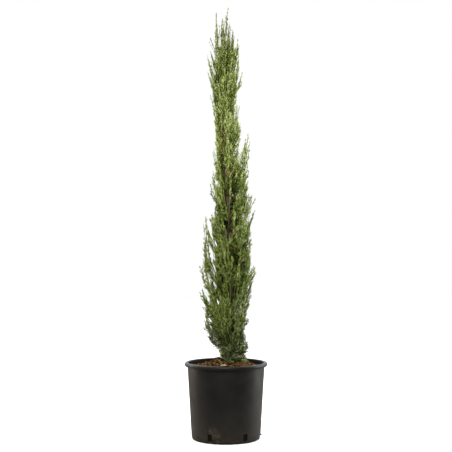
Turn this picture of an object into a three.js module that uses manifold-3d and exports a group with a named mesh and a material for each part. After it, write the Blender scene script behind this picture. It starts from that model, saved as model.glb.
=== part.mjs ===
// Potted Italian cypress: a slim column of upright shoots in a round black nursery pot.
// Millimetres, +Z up. The origin is the middle of the pot's underside and -Y is the front.
import * as THREE from "three";
import { mergeVertices } from "three/addons/utils/BufferGeometryUtils.js";
import Module from "manifold-3d";

const wasm = await Module();
wasm.setup();

// Driving sizes, in millimetres and degrees.
const TOP_HEIGHT = 1518;
const CLEARANCE = 0.3;

const POT = {
  height: 267,
  rimDiameter: 292,
  lipHeight: 17,
  lipReach: 11,
  baseDiameter: 243,
  wall: 2.4,
  footRounding: 12,
  sides: 36,
};
const DRAIN = { count: 6, turn: -27, width: 16, bottom: 5, top: 29, depth: 16 };
const MULCH = {
  top: 268,
  plateauRadius: 44,
  edgeHeight: 236,
  chips: 12,
  chipLength: 30,
  chipWidth: 15,
  chipThickness: 9,
  chipTilt: 30,
};
const TRUNK = {
  tipHeight: 1405,
  footRadius: 11,
  tipRadius: 2.2,
  flare: 5,
  flareHeight: 26,
  footX: 18,
  tipX: 6,
  bow: 11,
  sweep: 11.5,
  depthBow: 5,
  sides: 8,
  rings: 14,
};

// Crown outline: how far the foliage reaches from the trunk's axis to the left and to the right.
const CROWN = [
  { height: 265, left: 58, right: 70 },
  { height: 400, left: 98, right: 64 },
  { height: 570, left: 118, right: 86 },
  { height: 720, left: 102, right: 86 },
  { height: 800, left: 56, right: 98 },
  { height: 1030, left: 36, right: 96 },
  { height: 1130, left: 36, right: 60 },
  { height: 1300, left: 64, right: 68 },
  { height: 1390, left: 48, right: 46 },
  { height: 1490, left: 42, right: 8 },
];

// Tiers of shoots up the trunk: where each tier is rooted, how far its shoots climb before they
// reach the outline, how many stand round the trunk, and the first one's bearing.
const TIERS = [
  { name: "foot", root: 279, rise: 80, shoots: 4, turn: 0 },
  { name: "skirt", root: 299, rise: 185, shoots: 4, turn: 45 },
  { name: "low", root: 366, rise: 190, shoots: 5, turn: 18, boughs: true },
  { name: "broad", root: 468, rise: 190, shoots: 5, turn: 54, boughs: true },
  { name: "waist", root: 588, rise: 190, shoots: 5, turn: 18 },
  { name: "middle", root: 715, rise: 190, shoots: 5, turn: 54 },
  { name: "upper", root: 845, rise: 190, shoots: 4, turn: 0 },
  { name: "neck", root: 975, rise: 190, shoots: 4, turn: 45 },
  { name: "tuft", root: 1105, rise: 190, shoots: 4, turn: 0 },
  { name: "crest", root: 1225, rise: 215, shoots: 5, turn: 36 },
];

// The common shape of all shoots. Places along a shoot run from 0 at the trunk's axis to 1 at the
// crown's outline, and a spread is a share of the room between the stem and the walls of its space.
const SHOOT = {
  climb: 190,
  bend: 1.4,
  rootJitter: 16,
  shortest: 0.9,
  boughEnd: 0.3,
  boughRadius: 5,
  stemRadius: 3.4,
  stemShareOfTrunk: 0.6,
  stemTipRadius: 1,
  stemEnd: 0.96,
};
const CORE = {
  start: 0.09,
  end: 0.86,
  sides: 6,
  rings: 6,
  skew: 0.75,
  bluntness: 0.6,
  spread: 0.6,
  toothSpread: 0.92,
  toothDraw: 0.1,
};
const SPRAY = {
  count: 7,
  length: 52,
  width: 17,
  thickness: 9,
  first: 0.2,
  last: 0.94,
  twigClimb: 0.1,
  seat: 0.55,
  aimAhead: 0.22,
  aimSpread: 0.75,
  shortest: 0.8,
  longest: 1.15,
  tipFoot: 0.8,
  tipBelly: 0.92,
  scales: [1, 0.8, 0.6, 0.45],
};
// The space that a shoot's foliage keeps to: its depth over and under the stem, and its margins.
const SPACE = { depth: 62, sideGap: 0.8, bandGap: 1, overshoot: 1.06, trunkGap: 1.5, groundGap: 4 };
const LEADER = {
  radius: 13,
  foot: 20,
  sprays: 9,
  firstSpray: 0.08,
  lastSpray: 0.72,
  stemEnd: 0.94,
  length: 36,
  shortest: 0.75,
  belly: 0.36,
  lean: 20,
};

const BARK = new THREE.MeshStandardMaterial({ color: 0x6b5140, roughness: 0.9, metalness: 0 });
const FOLIAGE = new THREE.MeshStandardMaterial({ color: 0x5c7338, roughness: 0.7, metalness: 0 });
const POT_BLACK = new THREE.MeshStandardMaterial({ color: 0x262523, roughness: 0.55, metalness: 0 });
const BARK_MULCH = new THREE.MeshStandardMaterial({ color: 0x7a4f2e, roughness: 0.95, metalness: 0 });

const GOLDEN_ANGLE = Math.PI * (3 - Math.sqrt(5));
const { degToRad, lerp, smoothstep, clamp } = THREE.MathUtils;

// A repeatable chance from 0 to 1 for an item and one of its choices.
function chance(item, choice) {
  const wave = Math.sin(item * 12.9898 + choice * 78.233) * 43758.5453;
  return wave - Math.floor(wave);
}

// The closed solid of a geometry, with shared corners merged and collapsed faces dropped.
function solidOf(geometry) {
  const bare = geometry.clone();
  bare.deleteAttribute("normal");
  bare.deleteAttribute("uv");
  const merged = mergeVertices(bare, 1e-4);
  const corners = merged.index.array;
  const faces = [];
  for (let i = 0; i < corners.length; i += 3) {
    const [a, b, c] = corners.slice(i, i + 3);
    if (a !== b && b !== c && c !== a) faces.push(a, b, c);
  }
  const vertProperties = merged.attributes.position.array;
  return new wasm.Manifold(new wasm.Mesh({ numProp: 3, vertProperties, triVerts: new Uint32Array(faces) }));
}

// The largest body of a fused solid, with loose scraps dropped and sealed hollows filled.
function mainBody(solid) {
  return solid.decompose().reduce((a, b) => (b.volume() > a.volume() ? b : a));
}

function meshOf(name, solid, material) {
  const made = solid.getMesh();
  const geometry = new THREE.BufferGeometry();
  geometry.setAttribute("position", new THREE.BufferAttribute(made.vertProperties, 3));
  geometry.setIndex(new THREE.BufferAttribute(made.triVerts, 1));
  geometry.computeVertexNormals();
  const mesh = new THREE.Mesh(geometry, material);
  mesh.name = name;
  return mesh;
}

// Carries a geometry's height along a path, with its rings set square to the path.
// path(t) and radius(t) run from t = 0 at the geometry's lowest point to 1 at its highest.
function carry(geometry, path, radius) {
  geometry.computeBoundingBox();
  const { min, max } = geometry.boundingBox;
  const place = geometry.attributes.position;
  const step = 1e-3;
  for (let i = 0; i < place.count; i++) {
    const t = (place.getY(i) - min.y) / (max.y - min.y);
    const ahead = path(Math.min(1, t + step)).sub(path(Math.max(0, t - step))).normalize();
    const side = new THREE.Vector3(0, -1, 0).cross(ahead).normalize();
    const across = side.clone().cross(ahead);
    const spread = Math.hypot(place.getX(i), place.getZ(i));
    const share = spread > 1e-6 ? radius(t) / spread : 0;
    const point = path(t);
    point.addScaledVector(side, place.getX(i) * share).addScaledVector(across, place.getZ(i) * share);
    place.setXYZ(i, point.x, point.y, point.z);
  }
  return geometry;
}

const limb = (path, radius, sides, rings) =>
  carry(new THREE.CylinderGeometry(1, 1, 1, sides, rings), path, radius);

// Trunk: a tapering stem with a root flare, leaning through a slight bow and a slow S.
function trunkAxis(height) {
  const share = clamp((height - MULCH.top) / (TOP_HEIGHT - MULCH.top), 0, 1);
  const bow = Math.sin(Math.PI * share);
  const sweep = Math.sin(2 * Math.PI * share);
  const x = lerp(TRUNK.footX, TRUNK.tipX, share) - TRUNK.bow * bow + TRUNK.sweep * sweep;
  return new THREE.Vector3(x, TRUNK.depthBow * sweep, height);
}

function trunkRadius(height) {
  const share = clamp((height - MULCH.top) / (TRUNK.tipHeight - MULCH.top), 0, 1);
  const flare = TRUNK.flare * Math.exp(-(height - MULCH.top) / TRUNK.flareHeight);
  return lerp(TRUNK.footRadius, TRUNK.tipRadius, share) + flare;
}

function trunkSolid(grow) {
  const ground = MULCH.top + CLEARANCE;
  const heightAt = (t) => lerp(ground - TRUNK.flare, TRUNK.tipHeight, t ** 1.3);
  const path = (t) => trunkAxis(heightAt(t));
  const radius = (t) => trunkRadius(heightAt(t)) + grow;
  const below = new THREE.BoxGeometry(POT.baseDiameter, POT.baseDiameter, 2 * ground);
  return solidOf(limb(path, radius, TRUNK.sides, TRUNK.rings)).subtract(solidOf(below));
}

// Pot: a lathed shell with a rounded foot, a beaded lip and drain slots round its foot.
const wallRadius = POT.rimDiameter / 2 - POT.lipReach;
const baseRadius = POT.baseDiameter / 2;

// Lathes an outline of (radius, height) points round the pot's axis.
function lathe(outline) {
  return solidOf(new THREE.LatheGeometry(outline, POT.sides).rotateX(Math.PI / 2));
}

function potSolid() {
  const rounding = POT.footRounding;
  const bead = POT.lipHeight / 2;
  const outline = new THREE.Path();
  outline.moveTo(0, 0);
  outline.lineTo(baseRadius - rounding, 0);
  outline.absarc(baseRadius - rounding, rounding, rounding, -Math.PI / 2, 0, false);
  outline.lineTo(wallRadius, POT.height - POT.lipHeight);
  outline.absarc(POT.rimDiameter / 2 - bead, POT.height - bead, bead, -Math.PI / 2, Math.PI / 2, false);
  outline.lineTo(wallRadius - POT.wall, POT.height);
  outline.lineTo(baseRadius - POT.wall, rounding);
  outline.lineTo(baseRadius - rounding, POT.wall);
  outline.lineTo(0, POT.wall);
  let pot = lathe(outline.getPoints(2));
  for (let i = 0; i < DRAIN.count; i++) {
    const slot = new THREE.BoxGeometry(DRAIN.width, 2 * DRAIN.depth, DRAIN.top - DRAIN.bottom);
    slot.translate(0, -baseRadius, (DRAIN.top + DRAIN.bottom) / 2);
    slot.rotateZ(degToRad(DRAIN.turn + (360 * i) / DRAIN.count));
    pot = pot.subtract(solidOf(slot));
  }
  return pot;
}

// Potting mix: fills the pot and is heaped towards the trunk under a layer of bark chips.
function mulchHeight(radius) {
  return lerp(MULCH.top, MULCH.edgeHeight, smoothstep(radius, MULCH.plateauRadius, baseRadius));
}

function innerRadius(height) {
  const share = (height - POT.footRounding) / (POT.height - POT.footRounding);
  return lerp(baseRadius, wallRadius, share) - POT.wall - CLEARANCE;
}

function pottingMixSolid() {
  const rounding = POT.footRounding;
  const outline = new THREE.Path();
  outline.moveTo(0, POT.wall + CLEARANCE);
  outline.lineTo(baseRadius - rounding, POT.wall + CLEARANCE);
  outline.lineTo(innerRadius(rounding), rounding);
  outline.lineTo(innerRadius(MULCH.edgeHeight) - CLEARANCE, MULCH.edgeHeight);
  const slopeMiddle = (MULCH.plateauRadius + baseRadius) / 2;
  outline.lineTo(slopeMiddle, mulchHeight(slopeMiddle));
  outline.lineTo(MULCH.plateauRadius, MULCH.top);
  outline.lineTo(0, MULCH.top);
  let mix = lathe(outline.getPoints());
  for (let i = 0; i < MULCH.chips; i++) mix = mix.add(barkChip(i));
  return mainBody(mix);
}

// One bark chip, lying tilted on the slope of the heap and half sunk in it.
function barkChip(i) {
  const size = lerp(0.7, 1.2, chance(i, 1));
  const chip = new THREE.BoxGeometry(
    MULCH.chipLength * size,
    MULCH.chipWidth * size,
    MULCH.chipThickness * size,
  );
  const inner = MULCH.plateauRadius + MULCH.chipLength / 2;
  const outer = innerRadius(MULCH.edgeHeight) - 0.75 * MULCH.chipLength;
  const radius = lerp(inner, outer, Math.sqrt((i + 0.5) / MULCH.chips));
  const step = MULCH.chipWidth / 2;
  const slope = Math.atan2(mulchHeight(radius - step) - mulchHeight(radius + step), 2 * step);
  chip.rotateZ(2 * Math.PI * chance(i, 2));
  chip.rotateX(degToRad(MULCH.chipTilt * (chance(i, 3) - 0.5)));
  chip.rotateY(slope);
  chip.translate(radius, 0, mulchHeight(radius));
  chip.rotateZ(i * GOLDEN_ANGLE);
  return solidOf(chip);
}

// Crown: the outline at a height and bearing, and the flow of shoots inside it.
function reachAt(height, bearing) {
  const z = clamp(height, CROWN[0].height, CROWN.at(-1).height);
  const i = Math.min(CROWN.length - 2, CROWN.findLastIndex((row) => row.height <= z));
  const [low, high] = [CROWN[i], CROWN[i + 1]];
  const share = smoothstep(z, low.height, high.height);
  const left = lerp(low.left, high.left, share);
  const right = lerp(low.right, high.right, share);
  return (left + right) / 2 + ((right - left) / 2) * Math.cos(bearing);
}

// A point of the crown from its height, its bearing round the trunk and its share of the reach.
function crownPoint(height, bearing, share) {
  const out = share * reachAt(height, bearing);
  return trunkAxis(height).add(new THREE.Vector3(out * Math.cos(bearing), out * Math.sin(bearing), 0));
}

// A point's bearing and distance from the trunk's axis, its share of the reach, and the height on
// the trunk where a shoot that passes through it would be rooted.
function flowOf(point) {
  const axis = trunkAxis(point.z);
  const bearing = Math.atan2(point.y - axis.y, point.x - axis.x);
  const radius = Math.hypot(point.x - axis.x, point.y - axis.y);
  const share = radius / reachAt(point.z, bearing);
  return { bearing, radius, share, root: point.z - SHOOT.climb * share ** SHOOT.bend };
}

// All shoots of the crown, each with the space that its foliage keeps to.
function planShoots() {
  const shoots = [];
  TIERS.forEach((tier, level) => {
    const under = TIERS[level - 1];
    const over = TIERS[level + 1];
    const floor = under ? (under.root + tier.root) / 2 + SPACE.bandGap : -Infinity;
    const ceiling = over ? (tier.root + over.root) / 2 - SPACE.bandGap : Infinity;
    for (let i = 0; i < tier.shoots; i++) {
      const item = 20 * level + i;
      const bearing = degToRad(tier.turn + (360 * i) / tier.shoots);
      shoots.push({
        item,
        bearing,
        floor,
        ceiling,
        halfSector: Math.PI / tier.shoots,
        root: tier.root + SHOOT.rootJitter * (chance(item, 1) - 0.5),
        rise: tier.rise * lerp(0.92, 1.08, chance(item, 2)),
        reach: lerp(SHOOT.shortest, 1, chance(item, 3)),
        hasBough: Boolean(tier.boughs),
        name: `${tier.name}_${i + 1}`,
      });
    }
  });
  return shoots;
}

// A shoot leaves the trunk almost level, bends up and ends at the crown's outline.
function shootPath(shoot) {
  return (t) => crownPoint(shoot.root + shoot.rise * t ** SHOOT.bend, shoot.bearing, shoot.reach * t);
}

// Whether every corner of a geometry lies in the shoot's own space, clear of trunk and mulch.
function fits(geometry, shoot) {
  const place = geometry.attributes.position;
  const point = new THREE.Vector3();
  for (let i = 0; i < place.count; i++) {
    const flow = flowOf(point.fromBufferAttribute(place, i));
    const offset = flow.bearing - shoot.bearing;
    const turn = Math.abs(Math.atan2(Math.sin(offset), Math.cos(offset)));
    const besideLeader = point.z > TRUNK.tipHeight - LEADER.foot;
    const hollow = besideLeader ? LEADER.radius : trunkRadius(point.z) + SPACE.trunkGap;
    const inside =
      flow.radius * Math.sin(shoot.halfSector - turn) > SPACE.sideGap &&
      flow.root > shoot.floor &&
      flow.root < shoot.ceiling &&
      flow.share < SPACE.overshoot &&
      flow.radius > hollow &&
      point.z > MULCH.top + CLEARANCE;
    if (!inside) return false;
  }
  return true;
}

// A point beside a shoot's stem: turn goes round the stem from the side, over the top and back.
function besideStem(shoot, t, turn, spread) {
  const middle = flowOf(shootPath(shoot)(t));
  const over = Math.min(SPACE.depth, shoot.ceiling - middle.root);
  const under = Math.min(SPACE.depth, middle.root - shoot.floor);
  const lift = Math.sin(turn) * spread * (Math.sin(turn) > 0 ? over : under);
  const bearing = shoot.bearing + Math.cos(turn) * spread * shoot.halfSector;
  const height = middle.root + lift + SHOOT.climb * middle.share ** SHOOT.bend;
  return crownPoint(Math.max(height, MULCH.top + SPACE.groundGap), bearing, middle.share);
}

// The dense core of a mass: a spindle round the stem, with every other corner drawn out and up into
// a short tooth.
function core(shoot, start) {
  const { sides, rings } = CORE;
  const geometry = new THREE.SphereGeometry(1, sides, rings);
  const place = geometry.attributes.position;
  for (let i = 0; i < place.count; i++) {
    const column = i % (sides + 1);
    const ring = Math.floor(i / (sides + 1));
    const isPole = ring === 0 || ring === rings;
    const isTooth = !isPole && (column + ring) % 2 === 1;
    const s = 1 - ring / rings;
    const t = lerp(start, CORE.end, s) + (isTooth ? CORE.toothDraw : 0);
    const fullness = isPole ? 0 : Math.sin(Math.PI * s ** CORE.skew) ** CORE.bluntness;
    const turn = (2 * Math.PI * (column % sides)) / sides;
    const point = besideStem(shoot, t, turn, fullness * (isTooth ? CORE.toothSpread : CORE.spread));
    place.setXYZ(i, point.x, point.y, point.z);
  }
  return geometry;
}

// A spray on its twig: a slim three-sided flame that widens from its foot to its belly and ends in a
// point. Its broad side lies along the direction across.
function spray(foot, belly, tip, across) {
  const geometry = new THREE.SphereGeometry(1, 3, 2);
  const ahead = tip.clone().sub(belly);
  const girth = ahead.length() / SPRAY.length;
  const flat = across.clone().cross(ahead).normalize();
  const side = ahead.clone().cross(flat).normalize();
  const place = geometry.attributes.position;
  for (let i = 0; i < place.count; i++) {
    const y = place.getY(i);
    const point = (y < -0.5 ? foot : y > 0.5 ? tip : belly).clone();
    point.addScaledVector(side, (place.getX(i) * SPRAY.width * girth) / 2);
    point.addScaledVector(flat, (place.getZ(i) * SPRAY.thickness * girth) / 2);
    place.setXYZ(i, point.x, point.y, point.z);
  }
  return geometry;
}

// The longest of a few sizes of a spray that stays in the shoot's space, or nothing.
function fittedSpray(shoot, foot, belly, ahead, length) {
  const across = new THREE.Vector3(-Math.sin(shoot.bearing), Math.cos(shoot.bearing), 0);
  for (const scale of SPRAY.scales) {
    const tip = belly.clone().addScaledVector(ahead, length * scale);
    const geometry = spray(foot, belly, tip, across);
    if (fits(geometry, shoot)) return geometry;
  }
  return null;
}

// One of a shoot's twigs with its spray: it springs from the stem inside the core, leaves the core
// at its belly and is aimed up along the flow and away from the stem.
function twigSpray(shoot, i) {
  const item = 100 + 10 * shoot.item + i;
  const t = lerp(SPRAY.first, SPRAY.last, (i + chance(item, 5)) / SPRAY.count);
  const turn = i * GOLDEN_ANGLE + 2 * Math.PI * chance(shoot.item, 4);
  const foot = shootPath(shoot)(t - SPRAY.twigClimb);
  const belly = besideStem(shoot, t, turn, SPRAY.seat);
  const aim = besideStem(shoot, t + SPRAY.aimAhead, turn, lerp(SPRAY.aimSpread, 1, chance(item, 6)));
  const length = SPRAY.length * lerp(SPRAY.shortest, SPRAY.longest, chance(item, 7));
  return fittedSpray(shoot, foot, belly, aim.sub(belly).normalize(), length);
}

// The spray that ends a shoot's stem.
function tipSpray(shoot) {
  const path = shootPath(shoot);
  const belly = path(SPRAY.tipBelly);
  return fittedSpray(shoot, path(SPRAY.tipFoot), belly, path(1).sub(belly).normalize(), SPRAY.length);
}

// A mass of foliage: a stem with a dense core, and sprays on twigs that stand out all round it.
function foliageSolid(shoot, limbs) {
  const path = shootPath(shoot);
  const start = shoot.hasBough ? SHOOT.boughEnd : 0;
  const stemRadius = Math.min(SHOOT.stemRadius, SHOOT.stemShareOfTrunk * trunkRadius(shoot.root));
  const stem = limb(
    (s) => path(lerp(start, SHOOT.stemEnd, s)),
    (s) => lerp(stemRadius, SHOOT.stemTipRadius, s),
    3,
    5,
  );
  const sprays = Array.from({ length: SPRAY.count }, (_, i) => twigSpray(shoot, i));
  const pieces = [stem, core(shoot, Math.max(CORE.start, start)), ...sprays, tipSpray(shoot)];
  const fused = pieces.filter(Boolean).map(solidOf).reduce((a, b) => a.add(b));
  return mainBody(limbs.reduce((mass, other) => mass.subtract(other), fused));
}

// A main bough: one tapering limb from the trunk to where it enters its foliage.
function boughSolid(shoot, grow) {
  const path = shootPath(shoot);
  const butt = (trunkRadius(shoot.root) * 0.5) / reachAt(shoot.root, shoot.bearing);
  const length = path(SHOOT.boughEnd).distanceTo(path(butt));
  const end = SHOOT.boughEnd - ((CLEARANCE - grow) / length) * (SHOOT.boughEnd - butt);
  const radius = (s) => lerp(SHOOT.boughRadius, SHOOT.stemRadius, s) + grow;
  return solidOf(limb((s) => path(lerp(butt, end, s)), radius, 4, 3));
}

// The leader: the slim top shoot that carries the trunk's line on to the tip of the plant.
function leaderSolid() {
  const path = (t) => trunkAxis(lerp(TRUNK.tipHeight + CLEARANCE, TOP_HEIGHT, t));
  const stem = limb(
    (t) => path(t * LEADER.stemEnd),
    (t) => lerp(TRUNK.tipRadius, SHOOT.stemTipRadius, t),
    3,
    3,
  );
  const topFoot = trunkAxis(TOP_HEIGHT - LEADER.length);
  const topBelly = trunkAxis(TOP_HEIGHT - (1 - LEADER.belly) * LEADER.length);
  const pieces = [stem, spray(topFoot, topBelly, path(1), new THREE.Vector3(1, 0, 0))];
  const lean = degToRad(LEADER.lean);
  for (let i = 0; i < LEADER.sprays; i++) {
    const turn = i * GOLDEN_ANGLE;
    const t = lerp(LEADER.firstSpray, LEADER.lastSpray, i / (LEADER.sprays - 1));
    const length = LEADER.length * lerp(1, LEADER.shortest, t);
    const out = new THREE.Vector3(Math.cos(turn), Math.sin(turn), 0);
    const ahead = out.clone().multiplyScalar(Math.sin(lean)).setZ(Math.cos(lean));
    const belly = path(t).addScaledVector(ahead, LEADER.belly * length);
    const tip = path(t).addScaledVector(ahead, length);
    pieces.push(spray(path(t), belly, tip, out.clone().cross(ahead)));
  }
  return mainBody(pieces.map(solidOf).reduce((a, b) => a.add(b)));
}

// Assembly.
const plant = new THREE.Group();
plant.name = "potted_italian_cypress";
plant.add(meshOf("pot", potSolid(), POT_BLACK));
plant.add(meshOf("potting_mix", pottingMixSolid(), BARK_MULCH));
plant.add(meshOf("trunk", trunkSolid(0), BARK));

const trunkSpace = trunkSolid(CLEARANCE);
for (const shoot of planShoots()) {
  const limbs = [trunkSpace];
  if (shoot.hasBough) {
    const bough = boughSolid(shoot, 0).subtract(trunkSpace);
    plant.add(meshOf(`bough_${shoot.name}`, mainBody(bough), BARK));
    limbs.push(boughSolid(shoot, CLEARANCE));
  }
  plant.add(meshOf(`foliage_${shoot.name}`, foliageSolid(shoot, limbs), FOLIAGE));
}
plant.add(meshOf("foliage_leader", leaderSolid(), FOLIAGE));

export default plant;
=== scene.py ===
"""Potted Italian cypress: a slim column of upright, feathery shoots in a round black nursery pot.

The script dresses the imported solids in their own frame: +Z up, the front is -Y and the origin is the
middle of the pot's underside. Sizes are in millimetres and meshes are written in metres.
"""

import logging
from dataclasses import dataclass, field, replace
from enum import Enum

import bpy
import numpy as np
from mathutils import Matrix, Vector


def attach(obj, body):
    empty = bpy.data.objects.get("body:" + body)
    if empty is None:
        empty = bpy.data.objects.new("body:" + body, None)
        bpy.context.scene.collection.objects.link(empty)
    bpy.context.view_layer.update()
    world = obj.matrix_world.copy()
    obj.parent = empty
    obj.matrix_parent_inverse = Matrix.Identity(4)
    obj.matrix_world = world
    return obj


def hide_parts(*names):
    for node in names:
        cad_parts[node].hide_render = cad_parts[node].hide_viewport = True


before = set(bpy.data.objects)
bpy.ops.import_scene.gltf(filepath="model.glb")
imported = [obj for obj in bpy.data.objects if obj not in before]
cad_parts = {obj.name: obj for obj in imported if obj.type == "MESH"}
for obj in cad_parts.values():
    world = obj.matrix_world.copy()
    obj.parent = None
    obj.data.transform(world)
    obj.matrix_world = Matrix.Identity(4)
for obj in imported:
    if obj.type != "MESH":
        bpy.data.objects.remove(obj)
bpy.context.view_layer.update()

Array = np.ndarray
Material = bpy.types.Material
Node = bpy.types.Node
Object = bpy.types.Object
Tree = bpy.types.NodeTree
Range = tuple[float, float]
Rows = tuple[tuple[float, ...], ...]
LOG = logging.getLogger("cypress")

MM = 0.001
GOLDEN_ANGLE = np.pi * (3.0 - np.sqrt(5.0))
# Step that spreads numbered shares evenly between 0 and 1.
PLASTIC_SHARE = 0.7548776662
UP = np.array([0.0, 0.0, 1.0])
IMAGE_SIDE = 452

# Heights over the floor: the plant's tip, the mulch at the trunk, and how low and high leaves may end.
TOP_HEIGHT = 1518.0
MULCH_TOP = 268.0
LEAF_FLOOR = MULCH_TOP - 2.0
LEAF_CEILING = TOP_HEIGHT + 8.0

# Crown outline: height, then how far the foliage reaches from the trunk's axis to the left and right.
OUTLINE = np.array([
    (265, 44, 70),
    (315, 55, 72),
    (352, 94, 64),
    (400, 98, 61),
    (570, 113, 86),
    (720, 98, 86),
    (800, 56, 98),
    (1030, 32, 96),
    (1130, 35, 60),
    (1300, 61, 62),
    (1390, 48, 48),
    (1490, 42, 8),
], float)

# Habit of the sprays by height: their length, angle off the axis, their cords' length and angle.
HABIT = np.array([
    (290, 27, 58, 7, 34),
    (420, 29, 53, 7, 36),
    (540, 28, 46, 8, 46),
    (760, 29, 38, 8, 50),
    (1000, 31, 28, 7.2, 46),
    (1300, 29, 23, 6.8, 42),
    (1500, 21, 20, 6, 38),
], float)

# Each thing draws its chances by its own number. These are the numbers that a tier sets aside for its
# shoots, a shoot for its side shoots, a plume for its sprays and a spray for its cords, and where the
# numbers of side shoots and of the cords on a plume's end start.
SHOOT_NUMBERS, SIDE_NUMBERS, SPRAY_NUMBERS, CORD_NUMBERS = 20, 61, 40, 30
FIRST_SIDE, FIRST_END = 1000, 20


# Small tools


def lerp(low: Array | float, high: Array | float, share: Array | float) -> Array | float:
    """Returns the value a share of the way from low to high."""
    return low + (high - low) * share


def smoothstep(value: Array | float, low: Array | float, high: Array | float) -> Array:
    """Returns 0 below low, 1 above high and a smooth S between them (3s^2 - 2s^3)."""
    share = np.clip((value - low) / (high - low), 0.0, 1.0)
    return share * share * (3.0 - 2.0 * share)


def unit(vectors: Array) -> Array:
    """Returns vectors scaled to length 1 along their last axis."""
    return vectors / np.maximum(np.linalg.norm(vectors, axis=-1, keepdims=True), 1e-9)


def chance(item: Array | float, choice: float) -> Array:
    """Gives an item's repeatable chance, 0 to 1, in one of its choices: the fraction of a large sine."""
    wave = np.sin(np.asarray(item, float) * 12.9898 + choice * 78.233) * 43758.5453
    return wave - np.floor(wave)


def chances(item: Array, *choices: int) -> Array:
    """Returns the chances of several choices of each item, side by side along a last axis."""
    return np.stack([chance(item, choice) for choice in choices], axis=-1)


def drawn(limits: Range, item: Array | float, choice: float) -> Array:
    """Returns a repeatable value between two limits for an item and one of its choices."""
    return lerp(*limits, chance(item, choice))


def any_angle(item: Array | float, choice: float) -> Array:
    """Returns a repeatable angle from 0 to a full turn for an item and one of its choices."""
    return 2.0 * np.pi * chance(item, choice)


def ripple(x: Array, y: Array, seed: float, waves: int = 7) -> Array:
    """Sums plane waves of growing pitch and falling height, which gives a smooth, bumpy field.

    Args:
        x: First coordinate, in units of the longest wave over 2 pi.
        y: Second coordinate in the same units.
        seed: Number that picks the waves' directions and phases.
        waves: Number of waves.

    Returns:
        Field of about -1 to 1.
    """
    total = np.zeros(np.broadcast(x, y).shape)
    for wave in range(waves):
        turn = any_angle(seed + wave, 1)
        phase = any_angle(seed + wave, 2)
        pitch = 1.0 + 0.62 * wave
        total += np.sin(pitch * (x * np.cos(turn) + y * np.sin(turn)) + phase) / (1.0 + 0.4 * wave)
    return total / 2.6


@dataclass(frozen=True)
class Fade:
    """A value that passes smoothly from a start to an end between two heights."""

    low: float
    high: float
    start: float
    end: float

    def __call__(self, height: Array) -> Array:
        """Returns the values at heights."""
        return lerp(self.start, self.end, smoothstep(height, self.low, self.high))


def patches(rows: Rows, x: Array, y: Array) -> Array:
    """Sums patches that fade like bells: amount * exp(-((x - x0) / w)^2 - ((y - y0) / h)^2).

    Args:
        rows: Amount, x0, w, y0 and h of each patch. An endless w or h makes it a band.
        x: First coordinate of the places.
        y: Second coordinate of the places.

    Returns:
        The sum at each place.
    """
    return sum(
        amount * np.exp(-((x - x0) / w) ** 2 - ((y - y0) / h) ** 2) for amount, x0, w, y0, h in rows
    )


def linear(hex_code: str) -> tuple[float, float, float, float]:
    """Turns an sRGB hex colour such as #8fa552 into linear red, green, blue and alpha."""
    srgb = np.array([int(hex_code[i:i + 2], 16) for i in (1, 3, 5)]) / 255.0
    bent = np.where(srgb <= 0.04045, srgb / 12.92, ((srgb + 0.055) / 1.055) ** 2.4)
    return (*bent.tolist(), 1.0)


def add_node(tree: Tree, kind: str, inputs: dict | None = None, **settings) -> Node:
    """Adds a node with its settings, and fills its inputs with values or links.

    Args:
        tree: Node tree that gets the node.
        kind: Blender's name of the node's type, without ShaderNode.
        inputs: Socket name or number to a value, or to what feeds it: an output socket, or a node for
            the first of its outputs that is in use.
        **settings: Properties of the node.

    Returns:
        The new node.
    """
    node = tree.nodes.new("ShaderNode" + kind)
    for key, value in settings.items():
        setattr(node, key, value)
    for key, value in (inputs or {}).items():
        if isinstance(value, Node):
            value = next(output for output in value.outputs if output.enabled)
        if isinstance(value, bpy.types.NodeSocket):
            tree.links.new(value, node.inputs[key])
        else:
            node.inputs[key].default_value = value
    return node


def new_material(name: str) -> tuple[Material, Tree]:
    """Makes a material with an empty node tree, and returns both."""
    material = bpy.data.materials.new(name)
    material.use_nodes = True
    material.node_tree.nodes.clear()
    return material, material.node_tree


def make_object(
    name: str, points: Array, faces: list[Array], materials: list[Material],
    tints: Array | None = None, crease_deg: float | None = None,
) -> Object:
    """Puts arrays into a mesh object.

    Args:
        name: Name of the piece.
        points: Vertices in millimetres, n by 3.
        faces: Arrays of vertex numbers, each k by 3 or k by 4.
        materials: Material slots of the mesh.
        tints: Slot number of each face, or None where there is one material.
        crease_deg: Edges sharper than this stay sharp; None leaves all edges smooth.

    Returns:
        The object, at the origin and unturned.
    """
    corners = np.concatenate([block.ravel() for block in faces]).astype(np.int32)
    counts = np.concatenate([np.full(len(block), block.shape[1]) for block in faces])
    starts = np.concatenate([[0], np.cumsum(counts)[:-1]]).astype(np.int32)
    mesh = bpy.data.meshes.new(name)
    mesh.vertices.add(len(points))
    mesh.vertices.foreach_set("co", (points * MM).astype(np.float32).ravel())
    mesh.loops.add(len(corners))
    mesh.loops.foreach_set("vertex_index", corners)
    mesh.polygons.add(len(starts))
    mesh.polygons.foreach_set("loop_start", starts)
    mesh.polygons.foreach_set("use_smooth", np.ones(len(starts), bool))
    for material in materials:
        mesh.materials.append(material)
    if tints is not None:
        mesh.polygons.foreach_set("material_index", tints.astype(np.int32))
    mesh.update(calc_edges=True)
    if crease_deg is not None:
        mesh.set_sharp_from_angle(angle=np.radians(crease_deg))
    made = bpy.data.objects.new(name, mesh)
    bpy.context.scene.collection.objects.link(made)
    return made


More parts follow.
